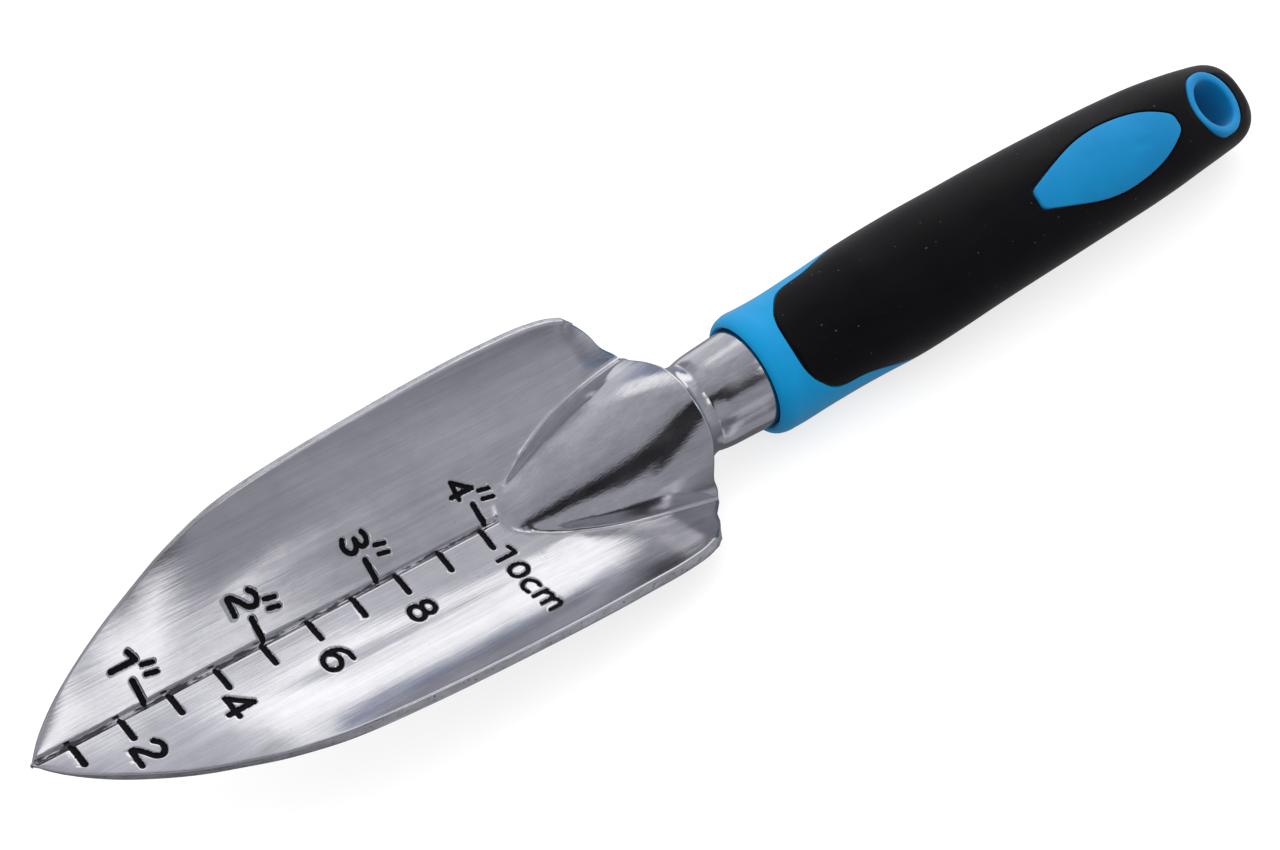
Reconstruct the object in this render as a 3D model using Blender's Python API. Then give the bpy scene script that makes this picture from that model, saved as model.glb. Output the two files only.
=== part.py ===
"""Planting trowel: a cast-aluminium scoop with a depth scale, and a two-colour
grip with a hanging hole.

Everything is drawn in the trowel's own drawing frame, in millimetres: the
origin is the tip of the scoop, +X runs along the keel to the grip, +Z is the
hollow side and -Y the centimetre side.  The parent empty "trowel" then lays
the tool down as it rests on a table, with the origin under the middle of it.
"""

import math

import bmesh
import bpy
import numpy as np
from mathutils import Matrix, Vector

MM = 0.001

# ------------------------------------------------------------------ driving
# How the tool lies: on the heel of its left flank, the collar and the grip's end.
REST_ROLL_DEG = 30.1  # turn about the keel
REST_PITCH_DEG = 8.4  # tip up
REST_YAW_DEG = 0.0
REST_LIFT_MM = 32.19
REST_SHIFT_X_MM = -148.91
REST_SHIFT_Y_MM = 5.47

FIT_GAP = 0.3  # between pieces that touch
WALL = 2.2  # thickness of the cast scoop

# Scoop: (distance from tip, half width, rim height) along the inner rim.
RIM = [
    (0, 0, 0), (3, 3.4, 0.5), (5, 5.1, 1.2), (8, 7.3, 2.1), (10, 8.6, 2.5),
    (15, 11.5, 2.9), (20, 14.2, 3.4), (25, 16.6, 4.2), (30, 18.6, 5.3),
    (40, 22.2, 7.5), (50, 24.4, 9.6), (60, 25.5, 10.7), (70, 26.3, 11.2),
    (80, 26.9, 11.6), (90, 27.4, 12.1), (100, 27.8, 12.5), (110, 28.0, 12.8),
    (120, 28.0, 12.6), (130, 27.3, 11.9), (134, 26.1, 10.9), (139, 26.0, 10.3),
    (146, 26.0, 8.5),
]
KEEL_SLOPE = [(0, 0.22), (23, 0.21), (50, 0.17), (74, 0.12), (99, 0.05), (112, 0.0), (146, 0.0)]
FLANK_SLOPE = [(0, 0.25), (23, 0.27), (50, 0.54), (74, 0.63), (99, 0.71), (118, 0.81), (130, 0.92), (146, 0.94)]
FLOOR_DROP = [(0, 0), (100, 0), (108, -0.1), (114, 0.1), (120, 0.4), (126, 0.6), (132, 0.5), (146, -0.6)]
HINGE_SOFTNESS = [(0, 0.5), (30, 1.5), (60, 3.5), (100, 3.5), (118, 2.0), (146, 1.2)]
# Hump behind the scale: crease half width and ridge height.
HUMP_HALF = [(0, 0.0), (60, 1.6), (100, 2.6), (104.7, 4.1), (109, 6.35), (113.5, 8.55), (118.3, 10.7), (123.7, 12.65), (130.4, 14.5), (139, 16.25), (145.2, 17.25), (146, 17.35)]
RIDGE = [(0, 0), (101, 0), (104, 0.5), (108, 1.8), (112, 3.3), (118, 5.7), (124, 8.0), (134.5, 11.7), (145, 15.2), (146, 15.5)]
HUMP_ROUNDNESS = [(100, 1.9), (128, 1.9), (138, 1.7), (146, 1.5)]
HUMP_STARTS = (100.5, 106.0)
# Rear outline: (|y|, x).
REAR = [(0, 144.9), (4, 145.4), (8, 145.6), (12, 144.8), (15, 144.0), (17.2, 145.2), (21, 141.1), (23, 139.4), (24, 138.0), (25, 136.2), (26.0, 133.6)]
REAR_HALF = 26.0
CREASE_END = 17.25
# Flanks are dished: share that is straight, and the power of the rest.
DISH = (0.58, 3.2)
EVEN = 0.6  # how far the flank keeps its line beside the hump
RIB_DEPTH = [(0, 0), (104, 0), (120, 0.5), (135, 1.3), (146, 2.2)]
RIB_HALF = [(0, 4), (104, 4), (120, 7), (146, 9.5)]

# Neck and tang, along the grip's axis.
AXIS_START = (163.02, 0.0, 6.95)  # where the collar's lip meets the metal
AXIS_RISE_DEG = 10.35
NECK = [(-13.0, 9.75), (-10.6, 10.25), (-5.0, 10.6), (0.0, 10.84), (6.2, 10.84)]
TANG_RADIUS = 6.0
TANG_END = 62.0

# Grip: (along the axis, bow of the centre line, radius).
GRIP_ROLL_DEG = -9.0
GRIP = [
    (-0.3, -0.3, 11.8), (-0.1, -0.3, 12.2), (0.4, -0.4, 12.75), (1.4, -0.45, 13.2), (2.9, -0.5, 13.45),
    (7.2, -1.2, 13.4), (11.5, -0.9, 13.3), (15.7, -0.4, 13.4), (19.9, 0.0, 13.5), (24.3, 0.3, 13.7),
    (28.6, 0.7, 13.95), (33.2, 0.4, 14.2), (37.8, 0.5, 14.3), (46.5, 1.1, 14.2), (55.6, 1.5, 13.9),
    (64.7, 1.8, 13.7), (74.1, 1.8, 13.5), (83.8, 1.5, 13.2), (93.6, 1.1, 12.9), (98.7, 0.7, 12.7),
    (103.9, 0.3, 12.4), (109.1, -0.3, 12.0), (114.6, -1.1, 11.4), (120.3, -2.2, 10.8), (126.1, -3.6, 10.1),
]
GRIP_END = 136.0
END_BLUNTNESS = 3.0
SQUARENESS = [(-3, 2.0), (100, 2.0), (115, 2.5), (137, 2.5)]
SLEEVE_WALL = 2.2
CORE_START = 6.6
CORE_END = 133.0
LIP_BORE = 11.15
LIP_DEPTH = 6.3

# Edge of the blue collar against the black sleeve, seen from the side:
# (along the axis, height over the centre line).  Mirrored below.
COLLAR_EDGE = [
    (6.4, 16.0), (6.4, 13.4), (6.7, 12.7), (7.3, 11.9), (8.3, 10.9), (9.6, 9.8), (10.8, 8.7), (11.9, 7.7),
    (13.2, 6.9), (15.0, 6.4), (17.2, 6.3), (19.5, 6.15), (21.8, 5.6), (24.2, 4.75), (26.8, 3.6), (29.5, 2.3),
    (31.8, 1.3), (33.6, 0.55), (34.4, 0.0),
]

# Thumb pad: (along the axis, half width) of its leaf outline.
PAD = [(68.9, 1.5), (69.6, 2.5), (71.7, 3.3), (76.0, 4.7), (80.7, 6.1), (85.0, 7.05), (89.5, 7.5), (93.5, 7.4), (97.5, 6.9), (101.3, 6.0), (104.5, 4.7), (107.3, 3.2), (108.8, 2.1), (109.3, 1.1)]
PAD_PROUD = 0.35
PAD_SHIFT = -0.6

# Hanging hole and its liner.
HOLE_AT = 122.2
HOLE_SIDE = -0.4
HOLE_TILT_DEG = -12.0
LAND_TOP_TILT_DEG = -22.0
LAND_LOW_TILT_DEG = -5.0
LAND_CUT = 0.9
LINER_RADIUS = 7.6
LINER_BORE = 5.45
LINER_PROUD = 0.25

# Depth scale cut along the keel.
SCALE_DEPTH = 0.4
GROOVE = (1.5, 101.5, 1.1)  # from, to, width
TICK_LENGTH = 5.0
TICK_WIDTH = 1.35
TICK_SHIFT = -2.15
CM_TICKS = range(1, 11)
INCH_TICKS = range(1, 5)

# Mesh fineness.
ROWS = 32
COLUMNS = 16
INNER_COLUMNS = 6
GRIP_SIDES = 32


# ------------------------------------------------------------------ helpers
def curve(stations, x, column=1):
    """A smooth line through the stations that never overshoots them."""
    xs = np.array([s[0] for s in stations], float)
    ys = np.array([s[column] for s in stations], float)
    x = np.clip(np.asarray(x, float), xs[0], xs[-1])
    h = np.diff(xs)
    d = np.diff(ys) / h
    m = np.zeros(len(xs))
    m[0], m[-1] = d[0], d[-1]
    for k in range(1, len(xs) - 1):
        if d[k - 1] * d[k] > 0:
            a, b = 2 * h[k] + h[k - 1], h[k] + 2 * h[k - 1]
            m[k] = (a + b) / (a / d[k - 1] + b / d[k])
    i = np.clip(np.searchsorted(xs, x, side="right") - 1, 0, len(xs) - 2)
    t = (x - xs[i]) / h[i]
    return (
        (2 * t**3 - 3 * t**2 + 1) * ys[i]
        + (t**3 - 2 * t**2 + t) * h[i] * m[i]
        + (3 * t**2 - 2 * t**3) * ys[i + 1]
        + (t**3 - t**2) * h[i] * m[i + 1]
    )


def smooth_step(a, b, x):
    t = np.clip((np.asarray(x, float) - a) / (b - a), 0, 1)
    return t * t * (3 - 2 * t)


def new_collection(name, parent):
    made = bpy.data.collections.new(name)
    parent.children.link(made)
    return made


def material(name, colour, roughness, metallic=0.0):
    made = bpy.data.materials.new(name)
    made.use_nodes = True
    shader = made.node_tree.nodes["Principled BSDF"]
    shader.inputs["Base Color"].default_value = (*colour, 1)
    shader.inputs["Roughness"].default_value = roughness
    shader.inputs["Metallic"].default_value = metallic
    made.diffuse_color = (*colour, 1)
    return made


def mesh_object(name, points, faces, look=None, smooth_deg=35):
    """A mesh from points in drawing millimetres, hung on the empty."""
    mesh = bpy.data.meshes.new(name)
    mesh.from_pydata([tuple(float(c) * MM for c in p) for p in points], [], faces)
    mesh.validate()
    tidy = bmesh.new()
    tidy.from_mesh(mesh)
    bmesh.ops.remove_doubles(tidy, verts=tidy.verts, dist=1e-6)
    bmesh.ops.recalc_face_normals(tidy, faces=tidy.faces)
    tidy.to_mesh(mesh)
    tidy.free()
    obj = bpy.data.objects.new(name, mesh)
    (PARTS if look else CUTTERS).objects.link(obj)
    obj.parent = TROWEL
    if look:
        mesh.materials.append(look)
        mesh.shade_smooth()
        mesh.set_sharp_from_angle(angle=math.radians(smooth_deg))
    else:
        obj.hide_render = True
        obj.display_type = "WIRE"
    return obj


def cut(obj, cutter, operation="DIFFERENCE"):
    made = obj.modifiers.new(f"{operation.lower()} {cutter.name}", "BOOLEAN")
    made.operation = operation
    made.object = cutter
    made.solver = "EXACT"


def loft(rings):
    """Points and faces of a closed solid through rings of equal length."""
    count = len(rings[0])
    points = [p for ring in rings for p in ring]
    faces = [
        (
            r * count + k,
            r * count + (k + 1) % count,
            (r + 1) * count + (k + 1) % count,
            (r + 1) * count + k,
        )
        for r in range(len(rings) - 1)
        for k in range(count)
    ]
    faces.append(tuple(reversed(range(count))))
    faces.append(tuple((len(rings) - 1) * count + k for k in range(count)))
    return points, faces


# ------------------------------------------------------------------ scoop
def straight_pan(x, y):
    """Floor, hinge and a straight flank."""
    half = np.maximum(curve(RIM, x, 1), 1e-6)
    rim = curve(RIM, x, 2)
    across = np.abs(y)
    floor = curve(FLOOR_DROP, x) + curve(KEEL_SLOPE, x) * across
    flank = rim - curve(FLANK_SLOPE, x) * (half - across)
    soft = curve(HINGE_SOFTNESS, x)
    blend = 0.5 * (floor + flank + np.sqrt((floor - flank) ** 2 + soft**2))
    at_rim = curve(FLOOR_DROP, x) + curve(KEEL_SLOPE, x) * half
    excess = 0.5 * (at_rim + rim + np.sqrt((at_rim - rim) ** 2 + soft**2)) - rim
    at_keel = 0.5 * (
        curve(FLOOR_DROP, x)
        + rim
        - curve(FLANK_SLOPE, x) * half
        + np.sqrt((curve(FLOOR_DROP, x) - rim + curve(FLANK_SLOPE, x) * half) ** 2 + soft**2)
    ) - curve(FLOOR_DROP, x)
    u = np.clip(across / half, 0, 1)
    return blend - excess * u**2 - at_keel * (1 - u) ** 2


def scoop_pan(x, y):
    """Height of the hollow side without the hump, its flanks dished."""
    straight = straight_pan(x, y)
    half, across = np.maximum(curve(RIM, x, 1), 1e-6), np.abs(y)
    behind = smooth_step(103, 112, x)
    steady = 0.33 * half
    foot = np.maximum(steady, np.minimum(curve(HUMP_HALF, x), half - 1))

    def flank(start):
        low = straight_pan(x, start)
        t = np.clip((across - start) / np.maximum(half - start, 1e-6), 0, 1)
        return low + (curve(RIM, x, 2) - low) * (DISH[0] * t + (1 - DISH[0]) * t ** DISH[1])

    even = EVEN * behind * smooth_step(144, 128, x)
    dished = flank(foot) * (1 - even) + flank(steady) * even
    share = smooth_step(-3 * behind, 4 - 4 * behind, across - foot) * smooth_step(38, 60, x)
    return straight * (1 - share) + dished * share


def hump_half(x):
    return np.minimum(curve(HUMP_HALF, x), 0.4 * curve(RIM, x, 1) + curve(HUMP_HALF, x) * 0.6)


def scoop_top(x, y):
    """Height of the hollow side with the hump."""
    pan = scoop_pan(x, y)
    half = np.maximum(hump_half(x), 1e-6)
    crease = scoop_pan(x, half)
    v = np.clip(np.abs(y) / half, 0, 1)
    power = curve(HUMP_ROUNDNESS, x)
    arch = (1 - v**power) ** (1 / power)
    hump = crease + np.maximum(curve(RIDGE, x) - crease, 0) * arch
    mix = smooth_step(*HUMP_STARTS, x) * (v < 1)
    return pan * (1 - mix) + hump * mix


def scoop_grid(rows, columns, inner):
    """(x, y) of the top grid: lines follow the outline and the crease."""
    s = np.linspace(0, 1, rows + 1)
    side = np.arange(-columns, columns + 1)
    share = np.abs(side) / columns
    inner_share = inner / columns
    # On the rear outline each column has its own |y|.
    rear_y = np.where(
        share <= inner_share,
        CREASE_END * share / inner_share,
        CREASE_END + (REAR_HALF - CREASE_END) * (share - inner_share) / (1 - inner_share),
    )
    rear_x = curve(REAR, rear_y)
    x = s[:, None] * rear_x[None, :]
    half = curve(RIM, x, 1)
    crease = np.minimum(hump_half(x), half * 0.66)
    across = np.where(
        share <= inner_share,
        crease * share / inner_share,
        crease + (half - crease) * (share - inner_share) / (1 - inner_share),
    )
    return x, across * np.sign(side)


def scoop_surfaces(rows, columns, inner):
    """Top and bottom points of the scoop, as (rows + 1, columns, 3)."""
    x, y = scoop_grid(rows, columns, inner)
    z = scoop_top(x, y)
    top = np.stack([x, y, z], axis=-1)
    # The bottom is the pan, without the hump, moved out along its normal.
    e = 0.05
    pan = scoop_pan(x, y)
    slope_x = (scoop_pan(x + e, y) - scoop_pan(x - e, y)) / (2 * e)
    y_in = np.sign(y) * np.maximum(np.abs(y) - e, 0)
    slope_y = np.where(np.abs(y) > e, (pan - scoop_pan(x, y_in)) / np.where(np.abs(y) > e, y - y_in, 1), 0)
    size = np.sqrt(slope_x**2 + slope_y**2 + 1)
    wall = WALL * (0.45 + 0.55 * smooth_step(0, 14, x))
    bottom = np.stack(
        [x + wall * slope_x / size, y + wall * slope_y / size, pan - wall / size],
        axis=-1,
    )
    rib = np.clip(1 - (y / curve(RIB_HALF, x)) ** 2, 0, 1) ** 1.5
    bottom[..., 2] -= curve(RIB_DEPTH, x) * rib
    # Under the hump the casting is level from crease to crease.
    half = hump_half(x)
    under = smooth_step(104, 116, x) * (np.abs(y) < half)
    level = scoop_pan(x, half) - 1.25 * wall - curve(RIB_DEPTH, x) * rib
    bottom[..., 2] = bottom[..., 2] * (1 - under) + np.minimum(level, bottom[..., 2]) * under
    return top, bottom


def grip_axes(roll_deg=0.0, tilt_deg=0.0):
    """Axis, side and top directions of the grip, rolled and then tilted."""
    rise = math.radians(AXIS_RISE_DEG)
    along = np.array([math.cos(rise), 0, math.sin(rise)])
    up = np.array([-math.sin(rise), 0, math.cos(rise)])
    side = np.array([0.0, 1.0, 0.0])
    r = math.radians(roll_deg)
    top = math.cos(r) * up + math.sin(r) * side
    left = math.cos(r) * side - math.sin(r) * up
    t = math.radians(tilt_deg)
    return (
        math.cos(t) * along + math.sin(t) * top,
        left,
        math.cos(t) * top - math.sin(t) * along,
    )


def build_head():
    rows, columns, inner = ROWS, COLUMNS, INNER_COLUMNS
    top, bottom = scoop_surfaces(rows, columns, inner)
    wide = 2 * columns + 1
    points, faces = [], []
    for surface in (top, bottom):
        points += [tuple(p) for p in surface.reshape(-1, 3)]

    def at(level, i, j):
        return level * (rows + 1) * wide + i * wide + j

    for i in range(rows):
        for j in range(wide - 1):
            faces.append((at(0, i, j), at(0, i + 1, j), at(0, i + 1, j + 1), at(0, i, j + 1)))
            faces.append((at(1, i, j), at(1, i, j + 1), at(1, i + 1, j + 1), at(1, i + 1, j)))
        for j in (0, wide - 1):
            faces.append((at(0, i, j), at(1, i, j), at(1, i + 1, j), at(0, i + 1, j)))
    first, last = columns - inner, columns + inner
    for j in range(wide - 1):
        if j < first or j >= last:
            faces.append((at(0, rows, j), at(0, rows, j + 1), at(1, rows, j + 1), at(1, rows, j)))
    # The rear loop, crease to crease, closes in on the neck with a fillet.
    loop = [at(0, rows, j) for j in range(first, last + 1)]
    loop += [at(1, rows, j) for j in range(last, first - 1, -1)]
    along, side, up = grip_axes()
    start = np.array(AXIS_START)
    ring_l = [NECK[0][0], *[s[0] for s in NECK[1:]]]
    rear = np.array([points[k] for k in loop])
    relative = rear - start
    rear_l = relative @ along
    rear_y, rear_n = relative @ side, relative @ up
    rear_r = np.hypot(rear_y, rear_n)
    angle = np.arctan2(rear_y, rear_n)
    steps = 5
    last_ring = loop
    for k in range(1, steps + 1):
        t = math.pi / 2 * k / steps
        l = rear_l + (NECK[0][0] - rear_l) * (1 - math.cos(t))
        r = rear_r + (NECK[0][1] - rear_r) * math.sin(t)
        ring = start + l[:, None] * along + (r * np.sin(angle))[:, None] * side + (r * np.cos(angle))[:, None] * up
        base = len(points)
        points += [tuple(p) for p in ring]
        this_ring = [base + n for n in range(len(ring))]
        for n in range(len(ring)):
            m = (n + 1) % len(ring)
            faces.append((last_ring[n], last_ring[m], this_ring[m], this_ring[n]))
        last_ring = this_ring
    stations = [(l, r) for l, r in NECK[1:]]
    stations += [(NECK[-1][0], TANG_RADIUS), (TANG_END - 1.5, TANG_RADIUS), (TANG_END, TANG_RADIUS - 1.5)]
    for l, r in stations:
        ring = start + l * along + (r * np.sin(angle))[:, None] * side + (r * np.cos(angle))[:, None] * up
        base = len(points)
        points += [tuple(p) for p in ring]
        this_ring = [base + n for n in range(len(ring))]
        for n in range(len(ring)):
            m = (n + 1) % len(ring)
            faces.append((last_ring[n], last_ring[m], this_ring[m], this_ring[n]))
        last_ring = this_ring
    faces.append(tuple(last_ring))
    head = mesh_object("trowel_head", points, faces, ALUMINIUM)
    cut(head, scale_cutter())
    return head


def bar(points, faces, centre, along, across, up, length, width, height):
    """Adds one square-ended bar, centred on a point, to a cutter."""
    base = len(points)
    for a in (-0.5, 0.5):
        for b in (-0.5, 0.5):
            for c in (-0.5, 0.5):
                points.append(
                    tuple(centre + a * length * along + b * width * across + c * height * up)
                )
    for f in ((0, 1, 3, 2), (4, 6, 7, 5), (0, 4, 5, 1), (2, 3, 7, 6), (0, 2, 6, 4), (1, 5, 7, 3)):
        faces.append(tuple(base + k for k in f))


def scale_cutter():
    """Keel groove and the centimetre and inch marks, as one cutter."""
    x_axis, y_axis, z_axis = np.eye(3)
    start, end, width = GROOVE
    tall = 4.0
    groove = ([], [])
    bar(*groove, np.array([(start + end) / 2, 0, tall / 2 - SCALE_DEPTH]), x_axis, y_axis, z_axis, end - start, width, tall)
    cutter = mesh_object("scale_groove", *groove)
    marks = ([], [])
    for number, pitch, side in [(k, 10.0, -1) for k in CM_TICKS] + [(k, 25.4, 1) for k in INCH_TICKS]:
        x = pitch * number + TICK_SHIFT
        slope = float(scoop_top(x, 4.0) - scoop_top(x, 1.0)) / 3.0
        out = np.array([0, side, slope]) / math.hypot(1, slope)
        up = np.array([0, -side * slope, 1]) / math.hypot(1, slope)
        foot = np.array([x, 0, float(scoop_top(x, 1.0)) - slope])
        middle = foot + out * TICK_LENGTH / 2 + up * (tall / 2 - SCALE_DEPTH)
        bar(*marks, middle, out, x_axis, up, TICK_LENGTH, TICK_WIDTH, tall)
    ticks = mesh_object("scale_marks", *marks)
    cut(cutter, ticks, "UNION")
    return cutter


# ------------------------------------------------------------------ grip
def grip_radius(l, offset=0.0):
    last, bow, radius = GRIP[-1]
    l = np.asarray(l, float)
    body = curve(GRIP, l, 2)
    end = GRIP_END + offset
    t = np.clip((l - last) / (end - last), 0, 1)
    taper = np.sqrt(np.clip(1 - t**END_BLUNTNESS, 0, 1))
    return np.where(l > last, (radius + offset) * taper - 0.12 * (l - last) * taper, body + offset)


def grip_bow(l):
    l = np.asarray(l, float)
    last, bow, _ = GRIP[-1]
    return np.where(l > last, bow - 0.3 * (l - last), curve(GRIP, l, 1))


def grip_ring(l, offset=0.0, radius=None):
    along, side, top = grip_axes(GRIP_ROLL_DEG)
    up = grip_axes()[2]
    power = float(curve(SQUARENESS, l))
    r = float(grip_radius(l, offset)) if radius is None else radius
    centre = np.array(AXIS_START) + l * along + float(grip_bow(l)) * up
    ring = []
    for k in range(GRIP_SIDES):
        a = 2 * math.pi * k / GRIP_SIDES
        c, s = math.cos(a), math.sin(a)
        reach = (abs(c) ** power + abs(s) ** power) ** (-1 / power)
        ring.append(tuple(centre + r * reach * (c * top + s * side)))
    return ring


def grip_solid(name, places, offset=0.0, look=None):
    return mesh_object(name, *loft([grip_ring(l, offset) for l in places]), look)


def side_prism(name, outline, reach=30.0):
    """A prism across the grip, from an outline (along, height)."""
    along, side, top = grip_axes(GRIP_ROLL_DEG)
    start = np.array(AXIS_START)
    rings = [
        [tuple(start + l * along + h * top + w * side) for l, h in outline]
        for w in (-reach, reach)
    ]
    return mesh_object(name, *loft(rings))


def collar_outline(gap):
    """Edge between collar and sleeve, moved by gap towards the sleeve."""
    edge = np.array(COLLAR_EDGE, float)
    way = np.gradient(edge, axis=0)
    way /= np.linalg.norm(way, axis=1)[:, None]
    normal = np.stack([-way[:, 1], way[:, 0]], axis=1)
    normal[0] = normal[1] = (1, 0)
    normal[-1] = (1, 0)
    moved = edge + gap * normal
    moved[-1, 1] = 0
    bow = grip_bow(moved[:, 0])
    upper = [(l, h + b) for (l, h), b in zip(moved, bow)]
    lower = [(l, b - h) for (l, h), b in zip(moved[:-1], bow[:-1])]
    return [(-8.0, 16.0), *upper, *reversed(lower), (-8.0, -18.0)]


def top_prism(name, outline, low, high):
    """A prism down through the grip's top, from an outline (along, side)."""
    along, side, top = grip_axes(GRIP_ROLL_DEG)
    start = np.array(AXIS_START)
    rings = [
        [tuple(start + l * along + w * side + h * top) for l, w in outline]
        for h in (low, high)
    ]
    return mesh_object(name, *loft(rings))


def pad_outline(gap):
    leaf = np.array(PAD, float)
    ends = np.array([[leaf[0, 0] - gap, 0.0], [leaf[-1, 0] + gap, 0.0]])
    middle = leaf[:, 0].mean()
    places = leaf[:, 0] + gap * np.clip((leaf[:, 0] - middle) / 18, -1, 1)
    left = [(l, w + gap + PAD_SHIFT) for l, w in zip(places, leaf[:, 1])]
    right = [(l, -w - gap + PAD_SHIFT) for l, w in zip(places, leaf[:, 1])]
    return [(ends[0, 0], PAD_SHIFT), *left, (ends[1, 0], PAD_SHIFT), *reversed(right)]


def rod(name, centre, direction, radius, length, look=None, sides=32):
    """A cylinder primitive on any axis of the drawing frame."""
    mesh = bpy.data.meshes.new(name)
    made = bmesh.new()
    bmesh.ops.create_cone(made, cap_ends=True, segments=sides, radius1=radius * MM, radius2=radius * MM, depth=length * MM)
    turn = Vector((0, 0, 1)).rotation_difference(Vector(direction)).to_matrix().to_4x4()
    bmesh.ops.transform(made, matrix=Matrix.Translation(Vector(centre) * MM) @ turn, verts=made.verts)
    made.to_mesh(mesh)
    made.free()
    obj = bpy.data.objects.new(name, mesh)
    (PARTS if look else CUTTERS).objects.link(obj)
    obj.parent = TROWEL
    if look:
        mesh.materials.append(look)
        mesh.shade_smooth()
        mesh.set_sharp_from_angle(angle=math.radians(35))
    else:
        obj.hide_render = True
        obj.display_type = "WIRE"
    return obj


def hole_points():
    """The middle of the upper and of the lower land, and the hole's axis."""
    along, side, top = grip_axes(GRIP_ROLL_DEG)
    up = grip_axes()[2]
    _, _, hole = grip_axes(GRIP_ROLL_DEG, HOLE_TILT_DEG)
    start = np.array(AXIS_START)
    high = (
        start
        + HOLE_AT * along
        + float(grip_bow(HOLE_AT)) * up
        + (float(grip_radius(HOLE_AT)) - LAND_CUT) * top
        + HOLE_SIDE * side
    )
    thick = (2 * float(grip_radius(HOLE_AT)) - 2 * LAND_CUT + 0.5) / float(hole @ top)
    return high, high - thick * hole, hole


def land_cutter(name, centre, tilt_deg, above):
    """A block that trims the grip, or its liner, flat at the hole's mouth."""
    along, side, up = grip_axes(GRIP_ROLL_DEG, tilt_deg)
    size = 40.0
    block = ([], [])
    shift = size / 2 if above else -size / 2
    bar(*block, centre + shift * up, along, side, up, size, size, size)
    return mesh_object(name, *block)


def build_grip():
    along, side, top = grip_axes(GRIP_ROLL_DEG)
    straight_top = grip_axes()[2]
    places = [s[0] for s in GRIP] + [129.0, 131.5, 133.5, 135.0, 135.8]
    front_places = [l for l in places if l < 36]
    inner_places = [3.0, 7.2, 11.5, 19.9, 28.6, 37.8, 46.5, 55.6, 64.7, 74.1, 83.8, 93.6, 103.9, 109.1, 114.6, 120.3, 126.1, 129.0, 131.3]

    cavity = grip_solid("grip_cavity", [*inner_places, 132.9, 133.2], -SLEEVE_WALL)
    high, low, hole_axis = hole_points()
    middle = (high + low) / 2
    hole = rod("hole_cut", middle, hole_axis, LINER_RADIUS + FIT_GAP, 60)
    land_top = land_cutter("land_top", high, LAND_TOP_TILT_DEG, True)
    land_low = land_cutter("land_low", low, LAND_LOW_TILT_DEG, False)

    # Black sleeve.
    sleeve = grip_solid("grip_sleeve", [s for s in places if s > 5], 0.0, RUBBER)
    cut(sleeve, cavity)
    cut(sleeve, side_prism("collar_room", collar_outline(FIT_GAP / 2)))
    cut(sleeve, top_prism("pad_room", pad_outline(FIT_GAP / 2), 3.0, 30.0))
    cut(sleeve, hole)
    cut(sleeve, land_top)
    cut(sleeve, land_low)

    # Blue collar with its two tongues.
    collar = grip_solid("front_collar", front_places, 0.0, BLUE)
    cut(collar, cavity)
    start = np.array(AXIS_START)
    cut(collar, rod("lip_bore", start + (LIP_DEPTH / 2 - 5) * along, along, LIP_BORE, LIP_DEPTH + 10, sides=48))
    cut(collar, side_prism("collar_shape", collar_outline(-FIT_GAP / 2)), "INTERSECT")

    # Rigid core with the socket for the tang.
    core_places = [l for l in inner_places if l > CORE_START]
    core = grip_solid("handle_core", [CORE_START, *core_places, 132.4, 132.7], -SLEEVE_WALL - FIT_GAP, CORE)
    cut(core, rod("tang_socket", start + (TANG_END / 2) * along, along, TANG_RADIUS + FIT_GAP, TANG_END + 1.0, sides=24))
    cut(core, hole)
    cut(core, land_top)
    cut(core, land_low)

    # Thumb pad in its window.
    pad = grip_solid("thumb_pad", [l for l in places if 60 < l < 118], PAD_PROUD, BLUE_PAD)
    cut(pad, top_prism("pad_shape", pad_outline(-FIT_GAP / 2), 3.0, 30.0), "INTERSECT")
    cut(pad, cavity)

    # Liner of the hanging hole, flat at both mouths.
    liner = rod("hang_eyelet", middle, hole_axis, LINER_RADIUS, 50, BLUE_RING)
    cut(liner, rod("liner_bore", middle, hole_axis, LINER_BORE, 60))
    proud_top = grip_axes(GRIP_ROLL_DEG, LAND_TOP_TILT_DEG)[2]
    proud_low = grip_axes(GRIP_ROLL_DEG, LAND_LOW_TILT_DEG)[2]
    cut(liner, land_cutter("liner_top", high + LINER_PROUD * proud_top, LAND_TOP_TILT_DEG, True))
    cut(liner, land_cutter("liner_low", low - LINER_PROUD * proud_low, LAND_LOW_TILT_DEG, False))


# ------------------------------------------------------------------ build
for old in list(bpy.data.objects):
    bpy.data.objects.remove(old, do_unlink=True)

ROOT = bpy.context.scene.collection
PARTS = new_collection("planting_trowel", ROOT)
CUTTERS = new_collection("cutters", ROOT)
CUTTERS.hide_render = True

TROWEL = bpy.data.objects.new("trowel", None)
PARTS.objects.link(TROWEL)

ALUMINIUM = material("cast_aluminium", (0.62, 0.62, 0.65), 0.28, 1.0)
BLUE = material("blue_collar", (0.0, 0.28, 0.62), 0.45)
BLUE_PAD = material("blue_pad", (0.0, 0.27, 0.60), 0.5)
BLUE_RING = material("blue_liner", (0.02, 0.24, 0.55), 0.45)
RUBBER = material("black_rubber", (0.012, 0.012, 0.014), 0.6)
CORE = material("grey_core", (0.08, 0.09, 0.10), 0.5)

build_head()
build_grip()

TROWEL.matrix_world = (
    Matrix.Translation((REST_SHIFT_X_MM * MM, REST_SHIFT_Y_MM * MM, REST_LIFT_MM * MM))
    @ Matrix.Rotation(math.radians(REST_YAW_DEG), 4, "Z")
    @ Matrix.Rotation(math.radians(REST_PITCH_DEG), 4, "Y")
    @ Matrix.Rotation(math.radians(REST_ROLL_DEG), 4, "X")
)
bpy.context.view_layer.update()
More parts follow.
